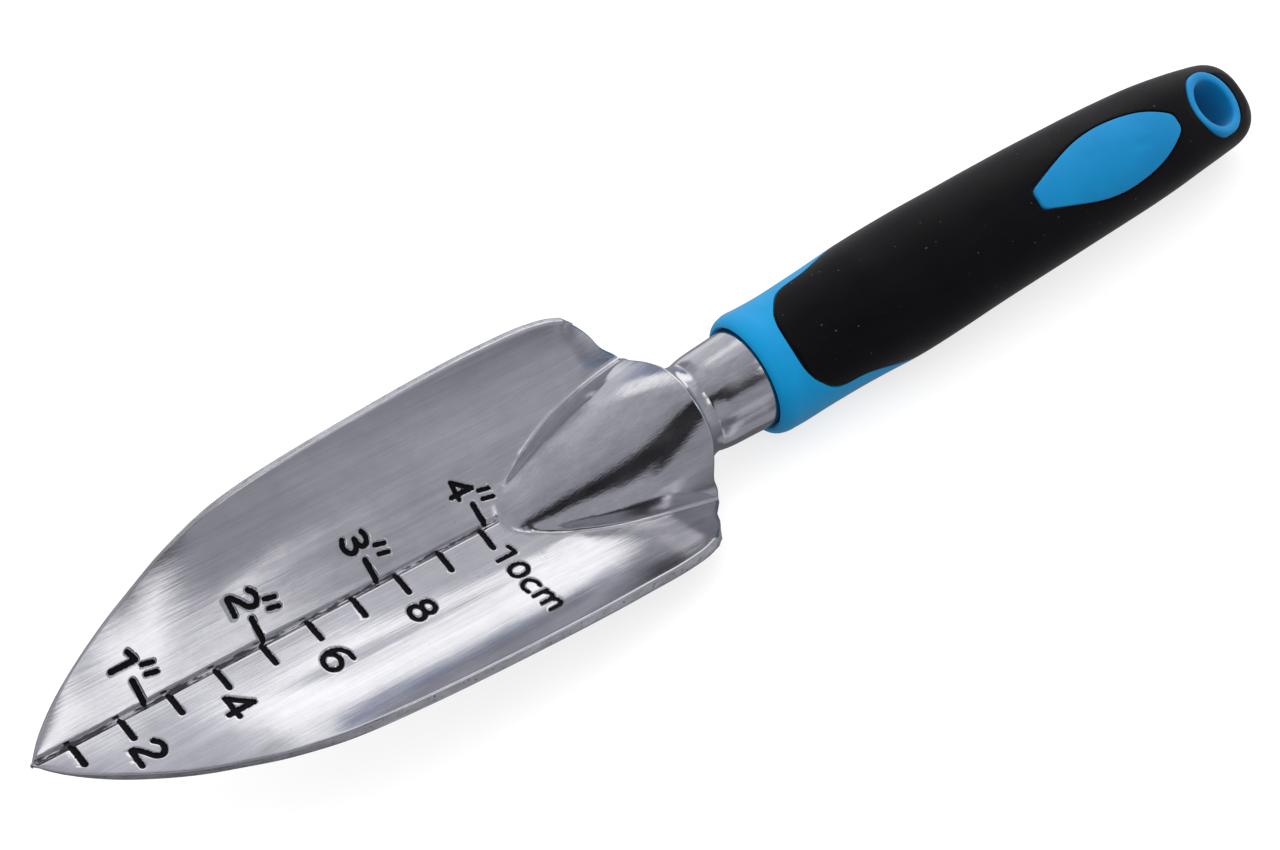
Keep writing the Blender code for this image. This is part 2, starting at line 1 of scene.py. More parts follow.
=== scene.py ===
"""Looks of the planting trowel: polished cast scoop with its engraved depth scale,
and the two-colour grip.

The pieces are drawn in the trowel's drawing frame, in millimetres (origin at the
scoop's tip, +X along the keel to the grip, +Z the hollow side, -Y the centimetre
side), and POSE lays them down in the row frame.
"""

import math

import bpy
import numpy as np
from mathutils import Matrix, Vector


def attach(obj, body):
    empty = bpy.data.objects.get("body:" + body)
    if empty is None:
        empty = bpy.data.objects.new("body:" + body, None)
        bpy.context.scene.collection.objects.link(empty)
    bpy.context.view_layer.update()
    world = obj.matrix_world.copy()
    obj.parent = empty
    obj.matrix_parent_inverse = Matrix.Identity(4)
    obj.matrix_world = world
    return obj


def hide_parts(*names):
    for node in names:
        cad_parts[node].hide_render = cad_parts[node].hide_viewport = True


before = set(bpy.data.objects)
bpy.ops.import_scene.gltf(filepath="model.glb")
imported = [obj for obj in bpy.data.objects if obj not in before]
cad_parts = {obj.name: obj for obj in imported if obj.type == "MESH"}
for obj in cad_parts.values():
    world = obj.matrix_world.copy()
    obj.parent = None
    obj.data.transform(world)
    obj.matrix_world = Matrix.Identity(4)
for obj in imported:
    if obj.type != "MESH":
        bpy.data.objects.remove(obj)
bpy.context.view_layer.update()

MM = 0.001
POSE = (
    Matrix.Translation((-148.91 * MM, 5.47 * MM, 32.19 * MM))
    @ Matrix.Rotation(math.radians(8.4), 4, "Y")
    @ Matrix.Rotation(math.radians(30.1), 4, "X")
)

# ---------------------------------------------------------------- constants
WALL = 2.2
RIM = [
    (0, 0, 0), (3, 3.4, 0.5), (5, 5.1, 1.2), (8, 7.3, 2.1), (10, 8.6, 2.5),
    (15, 11.5, 2.9), (20, 14.2, 3.4), (25, 16.6, 4.2), (30, 18.6, 5.3),
    (40, 22.2, 7.5), (50, 24.4, 9.6), (60, 25.5, 10.7), (70, 26.3, 11.2),
    (80, 26.9, 11.6), (90, 27.4, 12.1), (100, 27.8, 12.5), (110, 28.0, 12.8),
    (120, 28.0, 12.6), (130, 27.3, 11.9), (134, 26.1, 10.9), (139, 26.0, 10.3),
    (146, 26.0, 8.5),
]
KEEL_SLOPE = [(0, 0.22), (23, 0.21), (50, 0.17), (74, 0.12), (99, 0.05), (112, 0.0), (146, 0.0)]
FLANK_SLOPE = [(0, 0.25), (23, 0.27), (50, 0.54), (74, 0.63), (99, 0.71), (118, 0.81), (130, 0.92), (146, 0.94)]
FLOOR_DROP = [(0, 0), (100, 0), (108, -0.1), (114, 0.1), (120, 0.4), (126, 0.6), (132, 0.5), (146, -0.6)]
HINGE_SOFTNESS = [(0, 0.5), (30, 1.5), (60, 3.5), (100, 3.5), (118, 2.0), (146, 1.2)]
HUMP_HALF = [(0, 0.0), (60, 1.6), (100, 2.6), (104.7, 4.1), (109, 6.35), (113.5, 8.55), (118.3, 10.7), (123.7, 12.65), (130.4, 14.5), (139, 16.25), (145.2, 17.25), (146, 17.35)]
RIDGE = [(0, 0), (101, 0), (104, 0.5), (108, 1.8), (112, 3.3), (118, 5.7), (124, 8.0), (134.5, 11.7), (145, 15.2), (146, 15.5)]
HUMP_ROUNDNESS = [(100, 1.9), (128, 1.9), (138, 1.7), (146, 1.5)]
HUMP_STARTS = (100.5, 106.0)
REAR = [(0, 144.9), (4, 145.4), (8, 145.6), (12, 144.8), (15, 144.0), (17.2, 145.2), (21, 141.1), (23, 139.4), (24, 138.0), (25, 136.2), (26.0, 133.6)]
REAR_HALF = 26.0
DISH = (0.58, 3.2)
EVEN = 0.6
CREASE_END = 17.2
RIB_DEPTH = [(0, 0), (104, 0), (120, 0.5), (135, 1.3), (146, 2.2)]
RIB_HALF = [(0, 4), (104, 4), (120, 7), (146, 9.5)]
AXIS_START = (163.02, 0.0, 6.95)
AXIS_RISE_DEG = 10.35
NECK = [(-13.0, 9.75), (-10.6, 10.25), (-5.0, 10.6), (0.0, 10.84), (6.2, 10.84)]
TANG_RADIUS = 6.0
TANG_END = 62.0
GRIP_ROLL_DEG = -9.0
GRIP = [
    (-0.3, -0.3, 11.8), (-0.1, -0.3, 12.2), (0.4, -0.4, 12.75), (1.4, -0.45, 13.2), (2.9, -0.5, 13.45),
    (7.2, -1.2, 13.4), (11.5, -0.9, 13.3), (15.7, -0.4, 13.4), (19.9, 0.0, 13.5), (24.3, 0.3, 13.7),
    (28.6, 0.7, 13.95), (33.2, 0.4, 14.2), (37.8, 0.5, 14.3), (46.5, 1.1, 14.2), (55.6, 1.5, 13.9),
    (64.7, 1.8, 13.7), (74.1, 1.8, 13.5), (83.8, 1.5, 13.2), (93.6, 1.1, 12.9), (98.7, 0.7, 12.7),
    (103.9, 0.3, 12.4), (109.1, -0.3, 12.0), (114.6, -1.1, 11.4), (120.3, -2.2, 10.8), (126.1, -3.6, 10.1),
]
GRIP_END = 135.95
END_BLUNTNESS = 3.0
SQUARENESS = [(-3, 2.0), (100, 2.0), (115, 2.5), (137, 2.5)]
SLEEVE_WALL = 2.2
LIP_BORE = 10.97
LIP_DEPTH = 6.3
COLLAR_EDGE = [
    (6.4, 13.4), (6.7, 12.7), (7.3, 11.9), (8.3, 10.9), (9.6, 9.8), (10.8, 8.7), (11.9, 7.7),
    (13.2, 6.9), (15.0, 6.4), (17.2, 6.3), (19.5, 6.15), (21.8, 5.6), (24.2, 4.75), (26.8, 3.6), (29.5, 2.3),
    (31.8, 1.3), (33.6, 0.55), (34.4, 0.0),
]
PAD = [(68.9, 1.5), (69.6, 2.5), (71.7, 3.3), (76.0, 4.7), (80.7, 6.1), (85.0, 7.05), (89.5, 7.5), (93.5, 7.4), (97.5, 6.9), (101.3, 6.0), (104.5, 4.7), (107.3, 3.2), (108.8, 2.1), (109.3, 1.1)]
PAD_PROUD = 0.35
PAD_SHIFT = -0.6
HOLE_AT = 122.2
HOLE_SIDE = -0.4
HOLE_TILT_DEG = -12.0
LAND_TOP_TILT_DEG = -22.0
LAND_LOW_TILT_DEG = -5.0
LAND_CUT = 0.9
LINER_RADIUS = 7.6
LINER_BORE = 5.45
LINER_PROUD = 0.25
SCALE_DEPTH = 0.42
GROOVE = (1.5, 101.8, 1.6)
TICK_SHIFT = -2.15

# Numerals of the scale as pen strokes: (up the glyph, across it), in mm.
STROKES = {
    "1": [[(0, 1.8), (5.1, 1.8)], [(4.45, 0.0), (4.95, 1.0), (5.1, 1.7)]],
    "2": [[(0, 0), (0, 3.4)], [(0, 0), (0.75, 0.1), (2.0, 1.5), (3.1, 2.95), (4.3, 3.3), (5.2, 2.5), (5.3, 1.2), (4.4, 0.15)]],
    "3": [
        [(4.8, 0.1), (5.15, 1.1), (4.9, 2.1), (4.1, 2.6), (3.2, 2.2), (2.75, 0.8)],
        [(2.75, 0.8), (2.6, 1.9), (1.9, 2.85), (0.9, 2.8), (0.1, 1.9), (0.0, 0.9), (0.4, 0.0)],
    ],
    "4": [[(0, 3.2), (5.3, 3.2)], [(5.3, 3.2), (1.4, 0)], [(1.4, 0), (1.4, 4.4)]],
    "6": [[(5.4, 3.5), (5.25, 1.9), (4.3, 0.6), (2.6, 0), (1.0, 0.4), (0.05, 1.6), (0.2, 3.1), (1.3, 3.9), (2.5, 3.7), (3.2, 2.6), (3.0, 1.2), (1.9, 0.3)]],
    "8": [
        [(1.4 + 1.4 * math.cos(math.radians(a)), 1.75 + 1.6 * math.sin(math.radians(a))) for a in range(0, 361, 30)],
        [(4.0 + 1.25 * math.cos(math.radians(a)), 1.75 + 1.35 * math.sin(math.radians(a))) for a in range(0, 361, 30)],
    ],
    "0": [[(1.95 + 1.95 * math.cos(math.radians(a)), 1.45 + 1.45 * math.sin(math.radians(a))) for a in range(0, 361, 30)]],
    "c": [[(3.1, 2.2), (3.2, 1.2), (2.5, 0.2), (1.5, -0.05), (0.5, 0.3), (0.0, 1.2), (0.2, 2.3)]],
    "m": [
        [(0, 0), (3.1, 0)],
        [(2.2, 0.1), (3.0, 0.9), (2.9, 1.8), (2.2, 2.15)], [(2.4, 2.15), (0, 2.15)],
        [(2.2, 2.2), (3.0, 3.0), (2.9, 3.9), (2.2, 4.3)], [(2.4, 4.3), (0, 4.3)],
    ],
    "quote": [[(0, 0), (2.1, 0.4)], [(-0.1, 1.8), (2.0, 2.2)]],
}
STRAIGHT = {"1", "4", "quote"}
# (glyph, x of its foot, y of its left side, stretch up, stretch across, half width of the stroke)
LABELS = [
    ("1", 20.4, 9.5, 1.0, 1.0, 0.58), ("quote", 26.1, 6.4, 1.0, 1.0, 0.50),
    ("2", 46.0, 9.6, 1.0, 0.94, 0.57), ("quote", 52.5, 6.7, 1.0, 1.0, 0.50),
    ("3", 71.2, 9.7, 1.0, 1.0, 0.57), ("quote", 77.2, 6.3, 0.9, 1.0, 0.50),
    ("4", 96.1, 10.2, 0.95, 0.8, 0.52), ("quote", 102.0, 6.6, 1.1, 1.0, 0.48),
    ("2", 16.0, -6.7, 1.0, 1.0, 0.60), ("4", 34.4, -6.3, 1.0, 1.0, 0.58),
    ("6", 54.8, -7.8, 1.0, 1.0, 0.52), ("8", 74.9, -7.5, 1.0, 1.0, 0.52),
    ("1", 96.7, -5.9, 0.86, 0.95, 0.45), ("0", 96.9, -9.8, 1.0, 1.0, 0.45),
    ("c", 96.6, -14.1, 1.0, 1.0, 0.43), ("m", 96.9, -17.8, 1.0, 1.0, 0.45),
]


# ------------------------------------------------------------------ helpers
def curve(stations, x, column=1):
    """A smooth line through the stations that never overshoots them."""
    xs = np.array([s[0] for s in stations], float)
    ys = np.array([s[column] for s in stations], float)
    x = np.clip(np.asarray(x, float), xs[0], xs[-1])
    h = np.diff(xs)
    d = np.diff(ys) / h
    m = np.zeros(len(xs))
    m[0], m[-1] = d[0], d[-1]
    for k in range(1, len(xs) - 1):
        if d[k - 1] * d[k] > 0:
            a, b = 2 * h[k] + h[k - 1], h[k] + 2 * h[k - 1]
            m[k] = (a + b) / (a / d[k - 1] + b / d[k])
    i = np.clip(np.searchsorted(xs, x, side="right") - 1, 0, len(xs) - 2)
    t = (x - xs[i]) / h[i]
    return (
        (2 * t**3 - 3 * t**2 + 1) * ys[i]
        + (t**3 - 2 * t**2 + t) * h[i] * m[i]
        + (3 * t**2 - 2 * t**3) * ys[i + 1]
        + (t**3 - t**2) * h[i] * m[i + 1]
    )


class Line:
    """A table of stations as one line, faired over sigma millimetres."""

    def __init__(self, stations, column=1, sigma=0.0, step=0.1):
        low, high = stations[0][0], stations[-1][0]
        self.x = np.arange(low, high + step / 2, step)
        y = curve(stations, self.x, column)
        if sigma:
            reach = int(4 * sigma / step)
            reach = min(reach, len(y) - 1)
            before = 2 * y[0] - y[reach:0:-1]
            after = 2 * y[-1] - y[-2 : -reach - 2 : -1]
            kernel = np.exp(-0.5 * (np.arange(-reach, reach + 1) * step / sigma) ** 2)
            y = np.convolve(np.concatenate([before, y, after]), kernel / kernel.sum(), "valid")
        self.y = y

    def __call__(self, x):
        return np.interp(x, self.x, self.y)


def smooth_step(a, b, x):
    t = np.clip((np.asarray(x, float) - a) / (b - a), 0, 1)
    return t * t * (3 - 2 * t)


def through(points, per=6):
    """Points on a round line through the given ones."""
    p = np.array(points, float)
    closed = np.allclose(p[0], p[-1])
    before = p[-2] if closed else 2 * p[0] - p[1]
    after = p[1] if closed else 2 * p[-1] - p[-2]
    q = np.vstack([before, p, after])
    out = []
    for k in range(1, len(q) - 2):
        for t in np.linspace(0, 1, per, endpoint=False):
            a, b, c, d = q[k - 1], q[k], q[k + 1], q[k + 2]
            out.append(0.5 * (2 * b + (c - a) * t + (2 * a - 5 * b + 4 * c - d) * t**2 + (3 * b - a - 3 * c + d) * t**3))
    out.append(q[-2])
    return np.array(out)


def distance_to(lines, x, y):
    """Distance from each (x, y) to the nearest of the polylines."""
    best = np.full(x.shape, 9.0)
    for line in lines:
        for (ax, ay), (bx, by) in zip(line[:-1], line[1:]):
            dx, dy = bx - ax, by - ay
            size = dx * dx + dy * dy
            t = np.clip(((x - ax) * dx + (y - ay) * dy) / max(size, 1e-9), 0, 1)
            best = np.minimum(best, np.hypot(x - ax - t * dx, y - ay - t * dy))
    return best


def quads(index, wrap=False, flip=False):
    """Faces of a grid of vertex numbers."""
    if wrap:
        index = np.concatenate([index, index[:, :1]], axis=1)
    a, b, c, d = index[:-1, :-1], index[1:, :-1], index[1:, 1:], index[:-1, 1:]
    order = (a, d, c, b) if flip else (a, b, c, d)
    return np.stack([o.ravel() for o in order], axis=1)


def placed(points):
    """Drawing millimetres to row-frame metres."""
    pose = np.array(POSE)
    return (np.asarray(points, float) * MM @ pose[:3, :3].T + pose[:3, 3]).tolist()


def build(name, points, faces, looks, replaces, face_looks=None, values=None, sharp_deg=None, merge=None):
    """One visual piece from points in drawing millimetres."""
    mesh = bpy.data.meshes.new(name)
    mesh.from_pydata(placed(points), [], [list(map(int, f)) for f in faces])
    for look in looks:
        mesh.materials.append(look)
    if face_looks is not None:
        mesh.polygons.foreach_set("material_index", np.asarray(face_looks, np.int32))
    for key, value in (values or {}).items():
        made = mesh.attributes.new(key, "FLOAT", "POINT")
        made.data.foreach_set("value", np.asarray(value, np.float32))
    mesh.validate()
    mesh.update()
    mesh.shade_smooth()
    if sharp_deg:
        mesh.set_sharp_from_angle(angle=math.radians(sharp_deg))
    obj = bpy.data.objects.new(name, mesh)
    bpy.context.scene.collection.objects.link(obj)
    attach(obj, "root")
    if replaces:
        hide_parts(*replaces)
    return obj


# ---------------------------------------------------------------- materials
class Nodes:
    """A short way to write a material's node tree."""

    def __init__(self, tree):
        self.tree = tree

    def add(self, kind, **settings):
        node = self.tree.nodes.new("ShaderNode" + kind)
        for key, value in settings.items():
            setattr(node, key, value)
        return node

    def put(self, socket, value):
        if isinstance(value, bpy.types.NodeSocket):
            self.tree.links.new(value, socket)
        elif value is not None:
            socket.default_value = value

    def math(self, operation, a, b=None, c=None, clamp=False):
        node = self.add("Math", operation=operation, use_clamp=clamp)
        for socket, value in zip(node.inputs, (a, b, c)):
            self.put(socket, value)
        return node.outputs[0]

    def vector(self, operation, a, b=None):
        node = self.add("VectorMath", operation=operation)
        self.put(node.inputs[0], a)
        self.put(node.inputs[1], b)
        return node.outputs["Value" if operation in ("DOT_PRODUCT", "LENGTH") else "Vector"]

    def step(self, value, low, high):
        """0 below low, 1 above high, smooth between; high may be the lower."""
        node = self.add("MapRange", interpolation_type="SMOOTHSTEP")
        if high < low:
            low, high, ends = high, low, (1.0, 0.0)
        else:
            ends = (0.0, 1.0)
        self.put(node.inputs["Value"], value)
        self.put(node.inputs["From Min"], low)
        self.put(node.inputs["From Max"], high)
        self.put(node.inputs["To Min"], ends[0])
        self.put(node.inputs["To Max"], ends[1])
        return node.outputs["Result"]

    def spread(self, value, low, high, to_low, to_high):
        node = self.add("MapRange")
        self.put(node.inputs["Value"], value)
        for key, number in zip(("From Min", "From Max", "To Min", "To Max"), (low, high, to_low, to_high)):
            self.put(node.inputs[key], number)
        return node.outputs["Result"]

    def coordinates(self, scale=(1000, 1000, 1000), shift=(0, 0, 0), turn=(0, 0, 0)):
        """Coordinates in the drawing frame, in millimetres at scale 1000."""
        if not hasattr(self, "own"):
            back = self.add("Mapping", vector_type="TEXTURE")
            self.put(back.inputs["Vector"], self.add("TexCoord").outputs["Object"])
            self.put(back.inputs["Location"], POSE.to_translation())
            self.put(back.inputs["Rotation"], POSE.to_euler())
            self.own = back.outputs[0]
        node = self.add("Mapping")
        self.put(node.inputs["Vector"], self.own)
        self.put(node.inputs["Scale"], scale)
        self.put(node.inputs["Location"], shift)
        self.put(node.inputs["Rotation"], turn)
        return node.outputs[0]

    def noise(self, vector, scale, detail=2.0, roughness=0.5, distortion=0.0):
        node = self.add("TexNoise")
        self.put(node.inputs["Vector"], vector)
        self.put(node.inputs["Scale"], scale)
        self.put(node.inputs["Detail"], detail)
        self.put(node.inputs["Roughness"], roughness)
        self.put(node.inputs["Distortion"], distortion)
        return node.outputs["Fac"]

    def voronoi(self, vector, scale, feature="F1"):
        node = self.add("TexVoronoi", feature=feature)
        self.put(node.inputs["Vector"], vector)
        self.put(node.inputs["Scale"], scale)
        return node.outputs["Distance"]

    def mix(self, share, a, b):
        node = self.add("Mix", data_type="RGBA")
        self.put(node.inputs[0], share)
        self.put(node.inputs[6], a)
        self.put(node.inputs[7], b)
        return node.outputs[2]

    def blend(self, share, a, b):
        node = self.add("Mix", data_type="FLOAT")
        self.put(node.inputs[0], share)
        self.put(node.inputs[2], a)
        self.put(node.inputs[3], b)
        return node.outputs[0]

    def scale_colour(self, colour, by):
        node = self.add("VectorMath", operation="SCALE")
        self.put(node.inputs[0], colour)
        self.put(node.inputs["Scale"], by)
        return node.outputs[0]

    def bump(self, height, strength, distance, normal=None):
        node = self.add("Bump")
        self.put(node.inputs["Height"], height)
        self.put(node.inputs["Strength"], strength)
        self.put(node.inputs["Distance"], distance)
        if normal is not None:
            self.put(node.inputs["Normal"], normal)
        return node.outputs[0]

    def attribute(self, name):
        return self.add("Attribute", attribute_name=name).outputs["Fac"]


def new_look(name):
    made = bpy.data.materials.new(name)
    made.use_nodes = True
    n = Nodes(made.node_tree)
    return made, n, made.node_tree.nodes["Principled BSDF"].inputs


def polished_metal():
    made, n, shader = new_look("polished_cast_aluminium")
    mm = n.coordinates()
    brushed = n.noise(n.coordinates(scale=(55, 2600, 2600)), 1.0, 4, 0.6)
    streaks = n.noise(n.coordinates(scale=(22, 330, 330)), 1.0, 3, 0.55, 0.3)
    smudge = n.noise(mm, 0.085, 3, 0.55)
    cloud = n.noise(n.coordinates(shift=(40, 10, 0)), 0.3, 4, 0.6)
    specks = n.noise(n.coordinates(shift=(3, 60, 0)), 1.1, 2, 0.5)
    tone = n.math("ADD", n.spread(brushed, 0.3, 0.7, -0.06, 0.05), n.spread(streaks, 0.3, 0.7, -0.09, 0.07))
    broad = n.noise(n.coordinates(scale=(9, 95, 95), shift=(0, 2, 0)), 1.0, 3, 0.6)
    tone = n.math("ADD", tone, n.spread(broad, 0.3, 0.7, -0.10, 0.08))
    tone = n.math("ADD", tone, n.spread(smudge, 0.3, 0.7, -0.05, 0.05))
    tone = n.math("ADD", tone, n.spread(cloud, 0.3, 0.7, -0.03, 0.03))
    tone = n.math("SUBTRACT", tone, n.math("MULTIPLY", n.step(specks, 0.72, 0.8), 0.25))
    metal = n.scale_colour((0.558, 0.555, 0.583), n.math("ADD", tone, 1.0))
    rough = n.math("ADD", n.spread(smudge, 0.3, 0.7, 0.11, 0.16), n.spread(streaks, 0.3, 0.7, 0.0, 0.05))
    # The hump is polished, the flanks carry the lengthwise brushing.
    polish = n.attribute("polish")
    rough = n.math("SUBTRACT", rough, n.math("MULTIPLY", polish, 0.07))
    # Black paint left in the marks, a little ragged at its edge.
    edge = n.noise(n.coordinates(shift=(7, 0, 0)), 2.2, 2, 0.5)
    ink = n.math("ADD", n.attribute("ink"), n.spread(edge, 0.3, 0.7, -0.07, 0.09))
    ink_and_groove_shade = n.step(ink, 0.05, -0.03)
    # Painted shade in the keel groove: its middle is darkened nearly to black, patchy along its length, and joined to
    # the black paint of the marks.
    groove = n.math("ADD", n.attribute("groove"), n.spread(n.noise(n.coordinates(scale=(300, 1000, 1000)), 1.0, 3, 0.6), 0.3, 0.7, -0.2, 0.45))
    groove_shade = n.math("MULTIPLY", n.step(groove, -0.36, -0.60), 0.85)
    ink_and_groove_shade = n.math("MAXIMUM", ink_and_groove_shade, groove_shade)
    n.put(shader["Base Color"], n.mix(ink_and_groove_shade, metal, (0.014, 0.014, 0.016, 1)))
    shader["Metallic"].default_value = 1.0
    n.put(shader["Roughness"], n.blend(ink_and_groove_shade, rough, 0.55))
    relief = n.bump(brushed, 0.055, 0.02 * MM * 20)
    waves = n.noise(n.coordinates(scale=(75, 260, 260), shift=(0, 5, 9)), 1.0, 2, 0.5)
    relief = n.bump(waves, 0.5, 0.09 * MM, relief)
    n.put(shader["Normal"], relief)
    return made


def cast_edge():
    """Ground edge of the casting: duller, with small pits."""
    made, n, shader = new_look("cast_edge")
    mm = n.coordinates()
    grain = n.noise(mm, 2.4, 4, 0.6)
    patch = n.noise(n.coordinates(scale=(180, 600, 600)), 1.0, 3, 0.55)
    pits = n.step(n.noise(n.coordinates(shift=(9, 3, 1)), 1.5, 2, 0.5), 0.62, 0.7)
    tone = n.math("ADD", n.spread(grain, 0.3, 0.7, 0.85, 1.1), n.spread(patch, 0.3, 0.7, -0.25, 0.2))
    tone = n.math("SUBTRACT", tone, n.math("MULTIPLY", pits, 0.5))
    n.put(shader["Base Color"], n.scale_colour((0.50, 0.50, 0.52), tone))
    shader["Metallic"].default_value = 0.9
    n.put(shader["Roughness"], n.spread(grain, 0.3, 0.7, 0.34, 0.5))
    n.put(shader["Normal"], n.bump(n.math("SUBTRACT", grain, pits), 0.35, 0.12 * MM))
    return made


def blue_plastic(name, base, deep, roughness=0.42):
    made, n, shader = new_look(name)
    mm = n.coordinates()
    grain = n.noise(mm, 5.5, 3, 0.6)
    cloud = n.noise(n.coordinates(shift=(11, 4, 2)), 0.16, 3, 0.55)
    wear = n.noise(n.coordinates(scale=(250, 900, 900)), 1.0, 3, 0.55)
    tone = n.math("ADD", n.spread(grain, 0.3, 0.7, -0.02, 0.02), n.spread(cloud, 0.3, 0.7, 0.0, 1.0), clamp=True)
    n.put(shader["Base Color"], n.mix(tone, (*deep, 1), (*base, 1)))
    n.put(shader["Roughness"], n.math("ADD", n.spread(wear, 0.3, 0.7, roughness - 0.05, roughness + 0.06), n.spread(grain, 0.3, 0.7, -0.03, 0.03)))
    n.put(shader["Normal"], n.bump(grain, 0.16, 0.05 * MM))
    shader["Specular IOR Level"].default_value = 0.10
    shader["Sheen Weight"].default_value = 0.10
    shader["Sheen Roughness"].default_value = 0.4
    return made


def black_rubber():
    made, n, shader = new_look("black_rubber")
    mm = n.coordinates()
    grain = n.noise(mm, 6.5, 3, 0.6)
    haze = n.noise(n.coordinates(scale=(120, 260, 260)), 1.0, 4, 0.6)
    dust = n.math("MULTIPLY", n.step(n.noise(n.coordinates(shift=(5, 2, 8)), 1.35, 1, 0.4), 0.775, 0.81), 0.4)
    lines = n.noise(n.coordinates(scale=(110, 2400, 2400), turn=(0, 0, 0.25)), 1.0, 2, 0.5)
    scratch = n.math("MULTIPLY", n.step(lines, 0.73, 0.79), n.step(n.noise(mm, 0.12, 1, 0.5), 0.5, 0.6))
    base = n.mix(n.spread(haze, 0.3, 0.7, 0.0, 1.0), (0.0008, 0.0007, 0.0013, 1), (0.0017, 0.0015, 0.0024, 1))
    base = n.mix(n.math("ADD", dust, n.math("MULTIPLY", scratch, 0.12), clamp=True), base, (0.16, 0.16, 0.165, 1))
    n.put(shader["Base Color"], base)
    n.put(shader["Roughness"], n.math("ADD", n.spread(haze, 0.3, 0.7, 0.46, 0.56), n.spread(grain, 0.3, 0.7, -0.03, 0.03)))
    n.put(shader["Normal"], n.bump(grain, 0.22, 0.06 * MM))
    shader["Specular IOR Level"].default_value = 0.09
    shader["Sheen Weight"].default_value = 0.11
    shader["Sheen Roughness"].default_value = 0.35
    return made


def grey_core():
    made, n, shader = new_look("grey_core")
    grain = n.noise(n.coordinates(), 4.0, 3, 0.6)
    n.put(shader["Base Color"], n.mix(n.spread(grain, 0.3, 0.7, 0.0, 1.0), (0.05, 0.055, 0.06, 1), (0.09, 0.1, 0.11, 1)))
    n.put(shader["Roughness"], n.spread(grain, 0.3, 0.7, 0.42, 0.55))
    n.put(shader["Normal"], n.bump(grain, 0.15, 0.05 * MM))
    return made


METAL = polished_metal()
EDGE = cast_edge()
BLUE = blue_plastic("blue_collar", (0.0, 0.200, 0.425), (0.0, 0.180, 0.395))
# The pad's and the liner's blues are the collar's plastic given a darker base colour: painted shade.
BLUE_PAD = blue_plastic("blue_pad", (0.0, 0.165, 0.365), (0.0, 0.145, 0.335), 0.46)
BLUE_RING = blue_plastic("blue_liner", (0.003, 0.180, 0.400), (0.002, 0.150, 0.360), 0.4)
RUBBER = black_rubber()
CORE = grey_core()


# -------------------------------------------------------------------- scoop
RIM_HALF = Line(RIM, 1, 1.2)
RIM_HEIGHT = Line(RIM, 2, 4.0)
KEEL = Line(KEEL_SLOPE, 1, 4.0)
FLANK = Line(FLANK_SLOPE, 1, 4.0)
DROP = Line(FLOOR_DROP, 1, 3.0)
SOFT = Line(HINGE_SOFTNESS, 1, 5.0)
CREASE = Line(HUMP_HALF, 1, 1.2)
RIDGE_LINE = Line(RIDGE, 1, 2.0)
REAR_LINE = Line(REAR, 1, 0.35, 0.05)
RIB = Line(RIB_DEPTH, 1, 4.0)
HUMP_POWER = Line(HUMP_ROUNDNESS, 1, 3.0)
RIB_WIDTH = Line(RIB_HALF, 1, 4.0)


def straight_pan(x, y):
    half = np.maximum(RIM_HALF(x), 1e-6)
    rim = RIM_HEIGHT(x)
    across = np.abs(y)
    drop, soft = DROP(x), SOFT(x)
    floor = drop + KEEL(x) * across
    flank = rim - FLANK(x) * (half - across)
    blend = 0.5 * (floor + flank + np.sqrt((floor - flank) ** 2 + soft**2))
    at_rim = drop + KEEL(x) * half
    excess = 0.5 * (at_rim + rim + np.sqrt((at_rim - rim) ** 2 + soft**2)) - rim
    foot = rim - FLANK(x) * half
    at_keel = 0.5 * (drop + foot + np.sqrt((drop - foot) ** 2 + soft**2)) - drop
    u = np.clip(across / half, 0, 1)
    return blend - excess * u**2 - at_keel * (1 - u) ** 2


def pan(x, y):
    """The pan, its flanks dished: flatter at the foot, steeper towards the rim."""
    straight = straight_pan(x, y)
    half, across = np.maximum(RIM_HALF(x), 1e-6), np.abs(y)
    behind = smooth_step(103, 112, x)
    steady = 0.33 * half
    foot = np.maximum(steady, np.minimum(CREASE(x), half - 1))

    def flank(start):
        low = straight_pan(x, start)
        t = np.clip((across - start) / (half - start), 0, 1)
        return low + (RIM_HEIGHT(x) - low) * (DISH[0] * t + (1 - DISH[0]) * t ** DISH[1])

    even = EVEN * behind * smooth_step(144, 128, x)
    dished = flank(foot) * (1 - even) + flank(steady) * even
    share = smooth_step(-3 * behind, 4 - 4 * behind, across - foot) * smooth_step(38, 60, x)
    return straight * (1 - share) + dished * share


def hump_rise(x, y):
    """How far the hump stands over the pan."""
    half = np.maximum(np.minimum(CREASE(x), 0.4 * RIM_HALF(x) + CREASE(x) * 0.6), 1e-6)
    crease = pan(x, half)
    v = np.clip(np.abs(y) / half, 0, 1)
    power = HUMP_POWER(x)
    arch = (1 - v**power) ** (1 / power)
    top = crease + np.maximum(RIDGE_LINE(x) - crease, 0) * arch
    return np.maximum(top - pan(x, y), 0) * smooth_step(*HUMP_STARTS, x) * (v < 1)


def top_height(x, y):
    """Hollow side, with the hump's creases filleted."""
    rise = np.zeros_like(x)
    near = x > 98
    if near.any():
        xn, yn = x[near], y[near]
        total = np.zeros_like(xn)
        soft_x, soft_y = 0.7, 0.5
        for a, wa in ((-1.5, 0.12), (-0.75, 0.23), (0, 0.30), (0.75, 0.23), (1.5, 0.12)):
            for b, wb in ((-1.5, 0.12), (-0.75, 0.23), (0, 0.30), (0.75, 0.23), (1.5, 0.12)):
                total += wa * wb * hump_rise(xn + a * soft_x, yn + b * soft_y)
        rise[near] = total
    return pan(x, y) + rise


